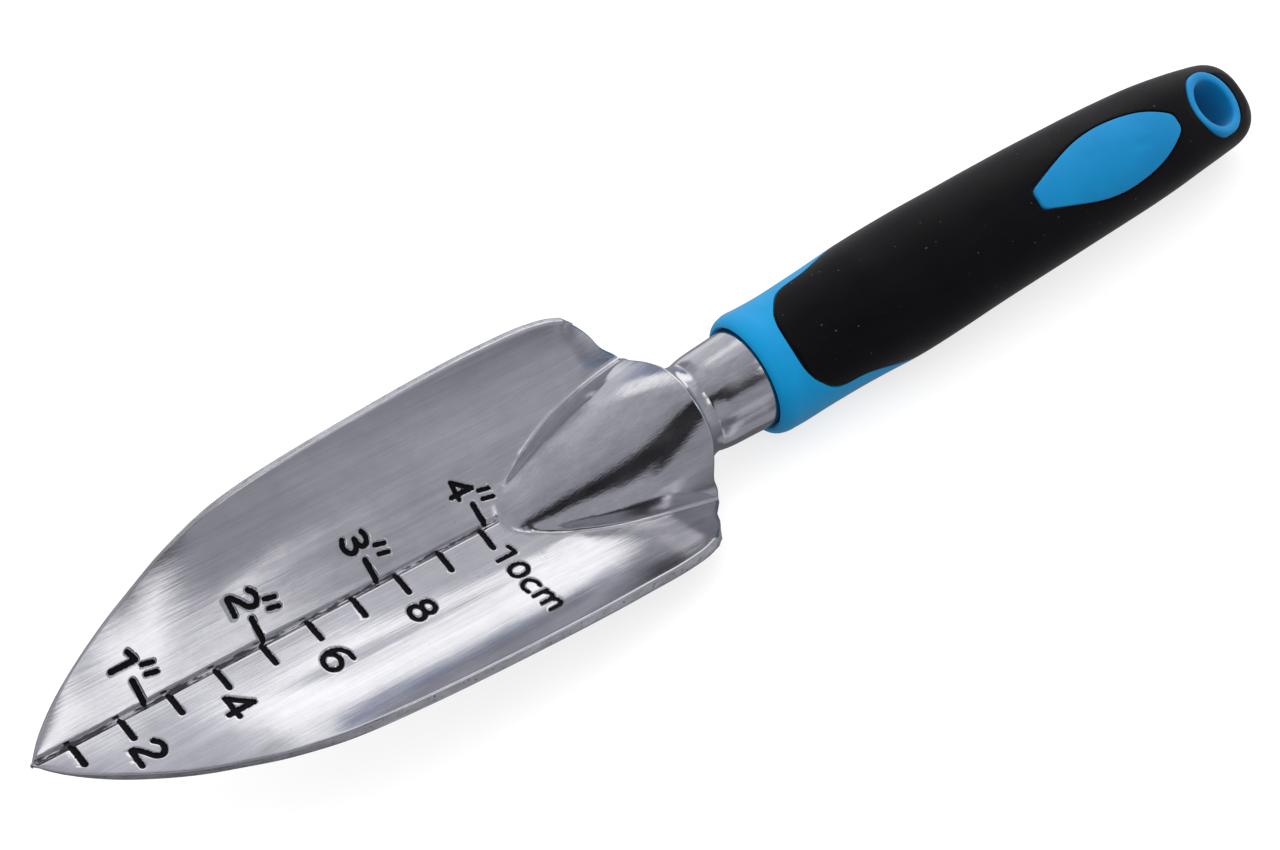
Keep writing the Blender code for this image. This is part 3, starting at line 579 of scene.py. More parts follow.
def scale_marks(x, y):
    """Signed distances (mm, negative inside) to the marks and to the keel groove."""
    marks = np.full(x.shape, 1.0)
    for number, pitch, side in [(k, 10.0, -1) for k in range(1, 11)] + [(k, 25.4, 1) for k in range(1, 5)]:
        at = pitch * number + TICK_SHIFT
        near = (np.abs(x - at) < 3) & (y * side > -1) & (y * side < 8)
        if near.any():
            found = distance_to([[(at, 0.5 * side), (at - 0.0, 4.65 * side)]], x[near], y[near]) - 0.64
            marks[near] = np.minimum(marks[near], found)
    for glyph, foot, left, up, across, width in LABELS:
        lines = []
        for stroke in STROKES[glyph]:
            points = np.array(stroke, float) * (up, across)
            if glyph not in STRAIGHT and len(stroke) > 2:
                points = through(points)
            lines.append([(foot + v, left - u) for v, u in points])
        every = np.array([p for line in lines for p in line])
        low, high = every.min(0) - 1.6, every.max(0) + 1.6
        near = (x > low[0]) & (x < high[0]) & (y > low[1]) & (y < high[1])
        if near.any():
            found = distance_to(lines, x[near], y[near]) - width
            marks[near] = np.minimum(marks[near], found)
    groove = distance_to([[(GROOVE[0], 0), (GROOVE[1], 0)]], x, y) - GROOVE[2] / 2
    return marks, np.minimum(groove, 1.0)


def rows_of_scoop():
    """Row places from tip to rear, close together where the scale is cut."""
    bands = [(0.1, 3.0, 0.3), (6.9, 8.8, 0.22), (15.2, 29.2, 0.25), (33.6, 40.6, 0.25), (45.3, 61.0, 0.25), (66.9, 68.8, 0.22), (70.4, 80.9, 0.25), (86.9, 88.8, 0.22), (95.6, 105.2, 0.25), (105.2, 144.5, 0.52)]
    places, at = [], 0.12
    while at < 144.0:
        places.append(at)
        step = 0.62
        for low, high, fine in bands:
            if low <= at < high:
                step = fine
        at += step
    return np.array(places)


def build_head():
    rounding = 0.45
    row_x = rows_of_scoop()
    while (len(row_x) + 6) % 3:
        row_x = row_x[:-1]
    # Rows are shares of the way to the rear outline; the last few hug its edge.
    shares = row_x / 145.3
    hug = np.array([0.9, 0.62, 0.42, 0.27, 0.16, 0.07, 0.0])
    crease_share = CREASE_END / REAR_HALF
    inner_top = np.concatenate([np.linspace(0, crease_share - 0.012, 63), crease_share - np.array([0.0065, 0.0026, 0.0])])
    inner_low = np.linspace(0, crease_share, 12)
    outer = np.concatenate([crease_share + np.array([0.0026, 0.0065]), np.linspace(crease_share + 0.012, 0.815, 14), np.linspace(0.815, 0.97, 8)[1:]])
    edge = hug

    def surface(inner, bottom):
        half_columns = np.concatenate([inner, outer])
        count = len(half_columns)
        rear_y = np.concatenate([half_columns * REAR_HALF, np.clip(REAR_HALF - edge, 0, REAR_HALF)])
        rear_x = REAR_LINE(rear_y)
        lean_rear = np.gradient(REAR_LINE(np.linspace(0, REAR_HALF, 521)), np.linspace(0, REAR_HALF, 521))
        stretch_rear = np.sqrt(1 + np.interp(rear_y, np.linspace(0, REAR_HALF, 521), lean_rear) ** 2)
        last = shares[-1]
        x_main = np.minimum(shares[:, None] * rear_x[None, :], rear_x[None, :] - 1.0)
        x_hug = rear_x[None, :] - hug[:, None] * np.minimum(stretch_rear, 2.2)[None, :]
        x = np.vstack([x_main, x_hug])
        half = RIM_HALF(x)
        lean = (RIM_HALF(x + 0.3) - RIM_HALF(np.maximum(x - 0.3, 0))) / (x + 0.3 - np.maximum(x - 0.3, 0))
        stretch = np.sqrt(1 + lean**2) * 0.88
        squeeze = np.minimum(1.0, half * 0.5 / (0.9 * stretch))
        y = np.empty_like(x)
        # Behind the scale one column runs along the hump's crease.
        taken = smooth_step(102.2, 107.6, x[:, :count])
        fold = crease_share * half[:, :count] * (1 - taken) + CREASE(x[:, :count]) * taken
        far = half[:, :count] - 0.95 * stretch[:, :count] * squeeze[:, :count]
        share = half_columns[None, :]
        y[:, :count] = np.where(
            share <= crease_share,
            share / crease_share * fold,
            fold + (share - crease_share) / (0.97 - crease_share) * (far - fold),
        )
        y[:, count:] = half[:, count:] - hug[None, :] * stretch[:, count:] * squeeze[:, count:]
        return x, y, count

    def mirrored(x, y):
        return np.hstack([x[:, :0:-1], x]), np.hstack([-y[:, :0:-1], y])

    def edge_drop(x, y):
        """How far a rounded edge falls away near the outline."""
        half = RIM_HALF(x)
        lean = (RIM_HALF(x + 0.3) - RIM_HALF(np.maximum(x - 0.3, 0))) / (x + 0.3 - np.maximum(x - 0.3, 0))
        side = (half - np.abs(y)) / (np.sqrt(1 + lean**2) * 0.88)
        grid = np.linspace(0, REAR_HALF + 3, 600)
        slope = np.interp(np.abs(y), grid, np.gradient(REAR_LINE(np.minimum(grid, REAR_HALF)), grid))
        back = (REAR_LINE(np.minimum(np.abs(y), REAR_HALF)) - x) / np.sqrt(1 + np.minimum(slope**2, 3.8))
        d = np.clip(np.minimum(side, back), 0, rounding)
        scale = np.clip(half / 3.0, 0.25, 1)
        return (rounding - np.sqrt(np.maximum(rounding**2 - (rounding - d) ** 2, 0))) * scale

    def normals_of(height, x, y, e=0.12):
        sx = (height(x + e, y) - height(x - e, y)) / (2 * e)
        step = np.where(y < 0, -e, e)
        sy = np.where(np.abs(y) > 1e-6, (height(x, y) - height(x, y - step)) / step, 0)
        n = np.stack([-sx, -sy, np.ones_like(sx)], axis=-1)
        return n / np.linalg.norm(n, axis=-1)[..., None]

    # Hollow side.
    x, y, _ = surface(inner_top, False)
    x, y = mirrored(x, y)
    z = top_height(x, y)
    normal = normals_of(top_height, x, y)
    marks, groove = scale_marks(x, y)
    recess = SCALE_DEPTH * smooth_step(0.06, -0.24, marks)
    vee = 0.55 * np.clip(-groove / 0.65, 0, 1) ** 0.8
    recess = np.maximum(recess, vee)
    top = np.stack([x, y, z], axis=-1) - normal * (recess + edge_drop(x, y))[..., None]
    # Back of the casting.
    bx, by, _ = surface(inner_low, True)
    bx, by = mirrored(bx, by)
    back_normal = normals_of(pan, bx, by)
    wall = WALL * (0.45 + 0.55 * smooth_step(0, 14, bx))
    low = np.stack([bx, by, pan(bx, by)], axis=-1) - back_normal * wall[..., None]
    rib = np.clip(1 - (by / RIB_WIDTH(bx)) ** 2, 0, 1) ** 1.5
    low[..., 2] -= RIB(bx) * rib
    half = np.minimum(CREASE(bx), 0.4 * RIM_HALF(bx) + CREASE(bx) * 0.6)
    under = smooth_step(104, 116, bx) * smooth_step(0, 1.2, half - np.abs(by))
    level = pan(bx, half) - 1.25 * wall - RIB(bx) * rib
    low[..., 2] = low[..., 2] * (1 - under) + np.minimum(level, low[..., 2]) * under
    low += back_normal * edge_drop(bx, by)[..., None]

    rows, wide = x.shape
    low = low[::3]
    low_rows, low_wide = low.shape[:2]
    points = [top.reshape(-1, 3), low.reshape(-1, 3)]
    top_index = np.arange(rows * wide).reshape(rows, wide)
    low_index = rows * wide + np.arange(low_rows * low_wide).reshape(low_rows, low_wide)
    total = rows * wide + low_rows * low_wide
    faces, looks = [], []

    def take(found, look):
        faces.extend(found.tolist() if hasattr(found, "tolist") else found)
        looks.extend([look] * len(found))

    take(quads(top_index), 0)
    take(quads(low_index, flip=True), 0)
    # Rim, in a few rows so that its ground face stays crisp.
    for j_top, j_low, flip in ((0, 0, True), (wide - 1, low_wide - 1, False)):
        upper, lower = top_index[:, j_top], low_index[:, j_low]
        middle = total + np.arange(low_rows)
        total += low_rows
        points.append(top[::3, j_top] * 0.5 + low[:, j_low] * 0.5)
        take(quads(np.stack([middle, lower], axis=1), flip=flip), 1)
        for k in range(low_rows - 1):
            face = [int(v) for v in (middle[k], middle[k + 1], *upper[3 * k + 3 : (3 * k - 1 if k else None) : -1])]
            take([face if flip else face[::-1]], 1)
    # Tip.
    first_middle = total - 2 * low_rows
    take([[*top_index[0], total - low_rows, *low_index[0, ::-1], first_middle]], 1)
    # Rear shoulders.
    outer_count = len(outer) + len(edge)
    top_middle, low_middle = (wide - 1) // 2, (low_wide - 1) // 2
    top_first, top_last = outer_count, wide - 1 - outer_count
    low_first, low_last = outer_count, low_wide - 1 - outer_count
    for a, b, c, d in ((0, top_first, 0, low_first), (top_last, wide - 1, low_last, low_wide - 1)):
        strip = quads(np.stack([top_index[-1, a : b + 1], low_index[-1, c : d + 1]], axis=0)).tolist()
        if a == 0:
            strip[0].insert(1, first_middle + low_rows - 1)
        else:
            strip[-1].insert(3, total - 1)
        take(strip, 1)
    # The hump's rear closes in on the neck, then the tang.
    loop = np.concatenate([top_index[-1, top_first : top_last + 1], low_index[-1, low_first : low_last + 1][::-1]])
    everything = np.concatenate(points)
    along, side, up = grip_axes()
    start = np.array(AXIS_START)
    rear = everything[loop]
    relative = rear - start
    rear_l, rear_y, rear_n = relative @ along, relative @ side, relative @ up
    rear_r, angle = np.hypot(rear_y, rear_n), np.arctan2(rear_y, rear_n)
    last = loop
    radial = np.sin(angle)[:, None] * side + np.cos(angle)[:, None] * up
    steps = 22

    def ring(l, r):
        nonlocal total, last
        made = start + np.asarray(l)[..., None] * along + np.asarray(r)[..., None] * radial
        points.append(made)
        index = total + np.arange(len(loop))
        total += len(loop)
        take(quads(np.stack([last, index], axis=0), wrap=True), 0)
        last = index

    neck = Line(NECK, 1, 1.0, 0.05)
    for k in range(1, steps + 1):
        t = math.pi / 2 * k / steps
        l = rear_l + (NECK[0][0] - rear_l) * (1 - math.cos(t))
        r = rear_r + (neck(NECK[0][0]) - rear_r) * math.sin(t)
        ring(l, r)
    for l in np.arange(-12.6, 6.3, 0.45):
        ring(np.full(len(loop), l), np.full(len(loop), float(neck(l))))
    for l, r in ((6.2, TANG_RADIUS + 0.5), (6.7, TANG_RADIUS), (20.0, TANG_RADIUS), (40.0, TANG_RADIUS), (TANG_END - 1.5, TANG_RADIUS), (TANG_END, TANG_RADIUS - 1.5)):
        ring(np.full(len(loop), l), np.full(len(loop), r))
    take([[int(k) for k in last[::-1]]], 0)

    everything = np.concatenate(points)
    ink = np.full(len(everything), 1.0)
    ink[: rows * wide] = marks.ravel()
    cut = np.full(len(everything), 1.0)
    cut[: rows * wide] = groove.ravel()
    polish = np.zeros(len(everything))
    rise = hump_rise(x, y)
    polish[: rows * wide] = smooth_step(0.0, 1.2, rise).ravel()
    polish[rows * wide + low_rows * low_wide :] = 0.2
    return build(
        "scoop_and_tang", everything, faces, [METAL, EDGE], ["trowel_head"],
        face_looks=looks, values={"ink": ink, "groove": cut, "polish": polish}, sharp_deg=50,
    )


# --------------------------------------------------------------------- grip
def grip_axes(roll_deg=0.0, tilt_deg=0.0):
    rise = math.radians(AXIS_RISE_DEG)
    along = np.array([math.cos(rise), 0, math.sin(rise)])
    up = np.array([-math.sin(rise), 0, math.cos(rise)])
    side = np.array([0.0, 1.0, 0.0])
    r = math.radians(roll_deg)
    top = math.cos(r) * up + math.sin(r) * side
    left = math.cos(r) * side - math.sin(r) * up
    t = math.radians(tilt_deg)
    return (math.cos(t) * along + math.sin(t) * top, left, math.cos(t) * top - math.sin(t) * along)


RADIUS_FAIR = Line(GRIP, 2, 2.2)
BOW_FAIR = Line(GRIP, 1, 2.2)
SQUARE = Line(SQUARENESS, 1, 3.0)


def grip_radius(l, offset=0.0):
    l = np.asarray(l, float)
    last, _, radius = GRIP[-1]
    fair = smooth_step(3.0, 8.0, l) * (1 - smooth_step(121.0, 126.0, l))
    body = curve(GRIP, l, 2) * (1 - fair) + RADIUS_FAIR(l) * fair
    end = GRIP_END + offset
    t = np.clip((l - last) / (end - last), 0, 1)
    taper = np.sqrt(np.clip(1 - t**END_BLUNTNESS, 0, 1))
    return np.where(l > last, (radius + offset) * taper - 0.12 * (l - last) * taper, body + offset)


def grip_bow(l):
    l = np.asarray(l, float)
    last, bow, _ = GRIP[-1]
    fair = smooth_step(3.0, 8.0, l) * (1 - smooth_step(121.0, 126.0, l))
    return np.where(l > last, bow - 0.3 * (l - last), curve(GRIP, l, 1) * (1 - fair) + BOW_FAIR(l) * fair)


def grip_point(l, theta, offset=0.0, drop=0.0):
    """Points on the grip's skin; theta from its top towards +Y, drop inwards."""
    along, side, top = grip_axes(GRIP_ROLL_DEG)
    up = grip_axes()[2]
    l, theta = np.broadcast_arrays(np.asarray(l, float), np.asarray(theta, float))
    power = SQUARE(l)
    c, s = np.cos(theta), np.sin(theta)
    reach = (np.abs(c) ** power + np.abs(s) ** power) ** (-1 / power)
    r = np.maximum(grip_radius(l, offset) * reach - drop, 0)
    return (
        np.array(AXIS_START)
        + l[..., None] * along
        + grip_bow(l)[..., None] * up
        + (r * c)[..., None] * top
        + (r * s)[..., None] * side
    )


def edge_columns(per=34):
    """(theta, l of the collar's edge) of the columns, all the way round."""
    edge = np.array(COLLAR_EDGE, float)
    t = np.linspace(0, 1, 400)
    way = np.concatenate([[0], np.cumsum(np.hypot(*np.diff(edge, axis=0).T))])
    l = np.interp(t, way / way[-1], edge[:, 0])
    h = np.interp(t, way / way[-1], edge[:, 1])
    kernel = np.exp(-0.5 * (np.arange(-12, 13) / 5.0) ** 2)
    kernel /= kernel.sum()
    l = np.convolve(np.concatenate([2 * l[0] - l[12:0:-1], l, 2 * l[-1] - l[-2:-14:-1]]), kernel, "valid")
    h = np.convolve(np.concatenate([h[12:0:-1] * 0 + 2 * h[0] - h[12:0:-1], h, 2 * h[-1] - h[-2:-14:-1]]), kernel, "valid")
    theta = np.arccos(np.clip(h / grip_radius(l), -1, 1))
    theta[0], theta[-1] = 0.0, math.pi / 2
    theta = np.maximum.accumulate(theta)
    # Columns even in a mix of angle and length along the edge.
    length = np.concatenate([[0], np.cumsum(np.hypot(np.diff(l), 13.5 * np.diff(theta)))])
    measure = length / length[-1] * 0.55 + theta / theta[-1] * 0.45
    pick = np.linspace(0, 1, per + 1)
    quarter_l = np.interp(pick, measure, l)
    quarter_t = np.interp(pick, measure, theta)
    theta_all = np.concatenate([quarter_t[:-1], math.pi - quarter_t[:0:-1], math.pi + quarter_t[:-1], 2 * math.pi - quarter_t[:0:-1]])
    l_all = np.concatenate([quarter_l[:-1], quarter_l[:0:-1], quarter_l[:-1], quarter_l[:0:-1]])
    return theta_all, l_all


def pad_outline(gap, count=180):
    """Closed outline of the pad's window, as (l, side) points."""
    leaf = np.array(PAD, float)
    middle = leaf[:, 0].mean()
    places = leaf[:, 0] + gap * np.clip((leaf[:, 0] - middle) / 18, -1, 1)
    left = np.stack([places, leaf[:, 1] + gap + PAD_SHIFT], axis=1)
    right = np.stack([places, -leaf[:, 1] - gap + PAD_SHIFT], axis=1)
    loop = np.vstack([[leaf[0, 0] - gap, PAD_SHIFT], left, [leaf[-1, 0] + gap, PAD_SHIFT], right[::-1], [leaf[0, 0] - gap, PAD_SHIFT]])
    line = through(loop, 8)
    way = np.concatenate([[0], np.cumsum(np.hypot(*np.diff(line, axis=0).T))])
    pick = np.linspace(0, way[-1], count, endpoint=False)
    return np.stack([np.interp(pick, way, line[:, 0]), np.interp(pick, way, line[:, 1])], axis=1)


def build_collar():
    theta, edge_l = edge_columns()
    gap = 0.15
    rows = []
    # Bore side, from deep inside out to the lip, round it, and back to the sleeve.
    along, side, top = grip_axes(GRIP_ROLL_DEG)
    start = np.array(AXIS_START)
    c, s = np.cos(theta), np.sin(theta)

    def tube(l, r):
        return start + l * along + (r * c)[:, None] * top + (r * s)[:, None] * side

    front = GRIP[0][0]
    for l in (6.0, 4.5, 3.0, 2.0, 1.5):
        rows.append(tube(l, np.full(theta.shape, LIP_BORE)))
    # The bore opens in a soft lip, then comes the rounded outer edge.
    for l, r in ((1.1, LIP_BORE + 0.02), (0.7, LIP_BORE + 0.07), (0.35, LIP_BORE + 0.16), (0.05, LIP_BORE + 0.29), (-0.15, LIP_BORE + 0.43), (-0.27, LIP_BORE + 0.56)):
        rows.append(tube(l, np.full(theta.shape, r)))
    outer = [front + 0.0, front + 0.04, front + 0.12, front + 0.25, front + 0.42, front + 0.65, front + 0.95, front + 1.35, front + 1.9, front + 2.6, front + 3.4, front + 4.4]
    for l in outer:
        t = (l - front) / 4.4
        rows.append(grip_point(np.full(theta.shape, l), theta))
    reach = edge_l - gap
    lead = outer[-1]
    count = 34
    for k in range(1, count + 1):
        t = k / count
        rows.append(grip_point(lead + (reach - lead) * t, theta))
    for drop, back in ((0.03, 0.10), (0.10, 0.17), (0.22, 0.21), (0.45, 0.22), (2.0, 0.22)):
        rows.append(grip_point(reach - 0.22 + back, theta, 0.0, drop))
    grid = np.stack(rows)
    n_rows, n_cols = grid.shape[:2]
    index = np.arange(n_rows * n_cols).reshape(n_rows, n_cols)
    faces = quads(index, wrap=True)
    # Inner wall back to the bore.
    closing = np.stack([index[-1], index[0]])
    faces = np.vstack([faces, quads(closing, wrap=True)])
    return build("front_collar_skin", grid.reshape(-1, 3), faces, [BLUE], ["front_collar"], sharp_deg=45)


def hole_points():
    along, side, top = grip_axes(GRIP_ROLL_DEG)
    up = grip_axes()[2]
    _, _, hole = grip_axes(GRIP_ROLL_DEG, HOLE_TILT_DEG)
    start = np.array(AXIS_START)
    radius, bow = float(curve(GRIP, HOLE_AT, 2)), float(curve(GRIP, HOLE_AT, 1))
    high = start + HOLE_AT * along + bow * up + (radius - LAND_CUT) * top + HOLE_SIDE * side
    thick = (2 * radius - 2 * LAND_CUT + 0.5) / float(hole @ top)
    return high, high - thick * hole, hole


def helper(name, points, faces):
    mesh = bpy.data.meshes.new(name)
    mesh.from_pydata(placed(points), [], [list(map(int, f)) for f in faces])
    mesh.update()
    obj = bpy.data.objects.new(name, mesh)
    bpy.context.scene.collection.objects.link(obj)
    return obj


def hole_helper(radius):
    high, low, hole = hole_points()
    _, side, _ = grip_axes(GRIP_ROLL_DEG)
    other = np.cross(hole, side)
    count = 128
    a = np.linspace(0, 2 * math.pi, count, endpoint=False)
    ring = radius * (np.cos(a)[:, None] * side + np.sin(a)[:, None] * other)
    points = np.vstack([low - 12 * hole + ring, high + 12 * hole + ring])
    index = np.arange(2 * count).reshape(2, count)
    faces = [list(f) for f in quads(index, wrap=True, flip=True)] + [list(index[0][::-1]), list(index[1])]
    return helper("hole_helper", points, faces)


def land_helper(name, centre, tilt_deg, above):
    along, side, up = grip_axes(GRIP_ROLL_DEG, tilt_deg)
    sign = 1 if above else -1
    corners = []
    for a in (-20, 20):
        for b in (-20, 20):
            for c in (0, 20 * sign):
                corners.append(centre + a * along + b * side + c * up)
    faces = [[0, 1, 3, 2], [4, 6, 7, 5], [0, 4, 5, 1], [2, 3, 7, 6], [0, 2, 6, 4], [1, 5, 7, 3]]
    if not above:
        faces = [f[::-1] for f in faces]
    return helper(name, corners, faces)


def window_helper():
    """The pad's window, with a small bevel at the skin."""
    rings = []
    for gap, drop in ((0.12, 4.0), (0.12, 0.24), (0.20, 0.06), (0.34, -0.04), (0.34, -2.5)):
        outline = pad_outline(gap, 200)
        radius = grip_radius(outline[:, 0])
        theta = np.arcsin(np.clip(outline[:, 1] / radius, -0.95, 0.95))
        rings.append(grip_point(outline[:, 0], theta, 0.0, drop))
    grid = np.stack(rings)
    index = np.arange(grid.shape[0] * grid.shape[1]).reshape(grid.shape[:2])
    faces = [list(f) for f in quads(index, wrap=True)] + [list(index[0]), list(index[-1][::-1])]
    return helper("window_helper", grid.reshape(-1, 3), faces)


def build_sleeve():
    theta, edge_l = edge_columns()
    theta_fine = theta
    gap = 0.15
    front = edge_l + gap
    # Mould step: the lower half starts a little further back.
    step = 0.5 * smooth_step(0.0, 0.05, np.mod(-theta, 2 * math.pi)) * (1 - smooth_step(0.25, 0.5, np.mod(-theta, 2 * math.pi)))
    front = front + step
    rows = []
    wall_low = [(0.0, SLEEVE_WALL), (0.0, 1.2), (0.0, 0.55), (0.03, 0.30), (0.10, 0.14), (0.20, 0.05), (0.34, 0.0)]
    for ahead, drop in wall_low:
        rows.append((front + ahead, np.full(theta.shape, drop)))
    begin = front + 0.34
    blend_to = 40.0
    first = 46
    for k in range(1, first + 1):
        rows.append((begin + (blend_to - begin) * k / first, np.zeros(theta.shape)))
    for l in np.arange(40.8, 66.0, 0.8):
        rows.append((np.full(theta.shape, l), np.zeros(theta.shape)))
    for l in np.arange(66.0, 112.4, 0.6):
        rows.append((np.full(theta.shape, l), np.zeros(theta.shape)))
    for l in np.arange(112.8, 126.2, 0.6):
        rows.append((np.full(theta.shape, l), np.zeros(theta.shape)))
    for a in np.linspace(0, math.pi / 2, 26)[1:-1]:
        rows.append((np.full(theta.shape, 126.2 + (GRIP_END - 126.2) * math.sin(a)), np.zeros(theta.shape)))
    l_grid = np.stack([r[0] for r in rows])
    drop = np.stack([r[1] for r in rows])
    t_grid = np.broadcast_to(theta, l_grid.shape)
    # Fine mould line along the top.
    seam_d = grip_radius(l_grid) * np.minimum(np.mod(t_grid, 2 * math.pi), 2 * math.pi - np.mod(t_grid, 2 * math.pi))
    seam = np.exp(-((seam_d / 0.16) ** 2)) * (l_grid < 19) * (l_grid > 6.4)
    drop = drop - 0.07 * seam * smooth_step(19, 15, l_grid)
    outer = grip_point(l_grid, t_grid, 0.0, drop)
    inner_l = [*np.arange(131.8, 124, -1.3), *np.arange(122, 44, -6.0)]
    inner = [grip_point(np.full(theta.shape, l), theta, -SLEEVE_WALL) for l in inner_l]
    inner.append(grip_point(np.maximum(front + 3.0, 38.0), theta, -SLEEVE_WALL))
    grid = np.concatenate([outer, np.stack(inner)])
    n_rows, n_cols = grid.shape[:2]
    index = np.arange(n_rows * n_cols).reshape(n_rows, n_cols)
    points = grid.reshape(-1, 3)
    outer_rows = len(rows)
    faces = [quads(index[:outer_rows], wrap=True), quads(index[outer_rows:], wrap=True), quads(np.stack([index[-1], index[0]]), wrap=True)]
    faces = [list(f) for f in np.vstack(faces)]
    pole_out = len(points)
    along, _, _ = grip_axes(GRIP_ROLL_DEG)
    up = grip_axes()[2]
    tip = np.array(AXIS_START) + GRIP_END * along + float(grip_bow(GRIP_END)) * up
    inner_tip = np.array(AXIS_START) + (GRIP_END - SLEEVE_WALL - 0.2) * along + float(grip_bow(GRIP_END - SLEEVE_WALL)) * up
    points = np.vstack([points, tip, inner_tip])
    a, b = index[outer_rows - 1], index[outer_rows]
    for k in range(n_cols):
        m = (k + 1) % n_cols
        faces.append([a[k], pole_out, a[m]])
        faces.append([b[m], pole_out + 1, b[k]])
    sleeve = build("rubber_sleeve", points, faces, [RUBBER], ["grip_sleeve"])
    high, low, hole = hole_points()
    cutters = [
        hole_helper(LINER_RADIUS + 0.25),
        land_helper("land_top_helper", high, LAND_TOP_TILT_DEG, True),
        land_helper("land_low_helper", low, LAND_LOW_TILT_DEG, False),
        window_helper(),
    ]
    for cutter in cutters:
        cut = sleeve.modifiers.new(cutter.name, "BOOLEAN")
        cut.operation = "DIFFERENCE"
        cut.solver = "EXACT"
        cut.object = cutter
    bpy.context.view_layer.update()
    graph = bpy.context.evaluated_depsgraph_get()
    made = bpy.data.meshes.new_from_object(sleeve.evaluated_get(graph), depsgraph=graph)
    sleeve.modifiers.clear()
    old = sleeve.data
    sleeve.data = made
    made.name = "rubber_sleeve"
    bpy.data.meshes.remove(old)
    for cutter in cutters:
        bpy.data.objects.remove(cutter)
    made.shade_smooth()
    made.set_sharp_from_angle(angle=math.radians(40))
    return sleeve


def build_pad():
    outline = pad_outline(-0.12, 200)
    low_l, high_l = 76.0, 102.5
    centre = np.stack([np.clip(outline[:, 0], low_l, high_l), np.full(len(outline), PAD_SHIFT)], axis=1)
    # Ease the middle line so that rings stay round at both ends.
    shares = np.concatenate([np.linspace(0, 0.9, 26), [0.93, 0.95, 0.965, 0.975, 0.985, 0.992, 0.997, 1.0, 1.0, 1.0]])
    edge_mm = 7.0 * (1 - shares)
    lift = PAD_PROUD - np.array([max(0.0, 0.45 - d) ** 2 / 0.45 * 1.0 for d in edge_mm])
    lift[-2:] = (-0.5, -1.15)
    rows = []
    along, side, top = grip_axes(GRIP_ROLL_DEG)
    for share, high in zip(shares, lift):
        p = centre + (outline - centre) * share
        radius = grip_radius(p[:, 0])
        theta = np.arcsin(np.clip(p[:, 1] / radius, -0.95, 0.95))
        dimple = 0.16 * np.exp(-(((p[:, 0] - 98.0) / 3.2) ** 2) - ((p[:, 1] + 1.2) / 1.1) ** 2)
        crown = 0.12 * (1 - min(share, 1.0) ** 2)
        rows.append(grip_point(p[:, 0], theta, 0.0, dimple - high - crown))
    grid = np.stack(rows)
    n_rows, n_cols = grid.shape[:2]
    index = np.arange(n_rows * n_cols).reshape(n_rows, n_cols)
    faces = [list(f) for f in quads(index, wrap=True, flip=True)]
    faces.append([int(k) for k in index[-1]])
    pad = build("thumb_pad_skin", grid.reshape(-1, 3), faces, [BLUE_PAD], ["thumb_pad"])
    weld = pad.modifiers.new("weld", "WELD")
    weld.merge_threshold = 1e-6
    graph = bpy.context.evaluated_depsgraph_get()
    made = bpy.data.meshes.new_from_object(pad.evaluated_get(graph), depsgraph=graph)
    pad.modifiers.clear()
    old = pad.data
    pad.data = made
    made.name = "thumb_pad_skin"
    bpy.data.meshes.remove(old)
    made.shade_smooth()
    made.set_sharp_from_angle(angle=math.radians(55))
    return pad


def build_ring():
    high, low, hole = hole_points()
    _, side, _ = grip_axes(GRIP_ROLL_DEG)
    other = np.cross(hole, side)
    top_normal = grip_axes(GRIP_ROLL_DEG, LAND_TOP_TILT_DEG)[2]
    low_normal = grip_axes(GRIP_ROLL_DEG, LAND_LOW_TILT_DEG)[2]
    count = 144
    a = np.linspace(0, 2 * math.pi, count, endpoint=False)
    spoke = np.cos(a)[:, None] * side + np.sin(a)[:, None] * other

    def ring(r, down, at_top):
        centre, normal = (high, top_normal) if at_top else (low, low_normal)
        sign = 1 if at_top else -1
        out = r * spoke
        slide = -(out @ normal) / float(hole @ normal)
        return centre + out + (slide + sign * (LINER_PROUD - down))[:, None] * hole

    R, B = LINER_RADIUS, LINER_BORE
    profile_top = [(R, 2.6), (R, 0.9), (R - 0.05, 0.55), (R - 0.18, 0.28), (R - 0.40, 0.10), (R - 0.75, 0.02), (R - 1.1, 0.0), (B + 0.85, 0.03), (B + 0.55, 0.12), (B + 0.30, 0.28), (B + 0.12, 0.52), (B + 0.03, 0.85), (B, 1.3)]
    rows = [ring(r, d, True) for r, d in profile_top]
    rows += [rows[-1] * (1 - t) + ring(B, 1.3, False) * t for t in (0.25, 0.5, 0.75)]
    rows += [ring(r, d, False) for r, d in reversed(profile_top)]
    grid = np.stack(rows)
    n_rows, n_cols = grid.shape[:2]
    index = np.arange(n_rows * n_cols).reshape(n_rows, n_cols)
    faces = np.vstack([quads(index, wrap=True, flip=True), quads(np.stack([index[-1], index[0]]), wrap=True, flip=True)])
    return build("hang_ring", grid.reshape(-1, 3), faces, [BLUE_RING], ["hang_eyelet"], sharp_deg=60)


build_head()
build_collar()
build_sleeve()
build_pad()
build_ring()

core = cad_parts["handle_core"]
core.data.materials.clear()
core.data.materials.append(CORE)
core.data.shade_smooth()


# -------------------------------------------------------- camera and studio
def blade_camera():
    """The photograph's camera, found from the scale marks and the outlines."""
    a, e, r = (math.radians(v) for v in (-65.89, 56.66, 34.18))
    distance, shift_x, shift_y = 485.87, -105.74, -59.11
    back = Vector((math.sin(a) * math.cos(e), -math.cos(a) * math.cos(e), math.sin(e)))
    right = Vector((math.cos(a), math.sin(a), 0))
    up = back.cross(right)
    right_r = right * math.cos(r) + up * math.sin(r)
    up_r = up * math.cos(r) - right * math.sin(r)
    place = back * distance - right_r * shift_x - up_r * shift_y
    turn = Matrix((right_r, up_r, back)).transposed().to_4x4()
    return POSE @ Matrix.Translation(place * MM) @ turn


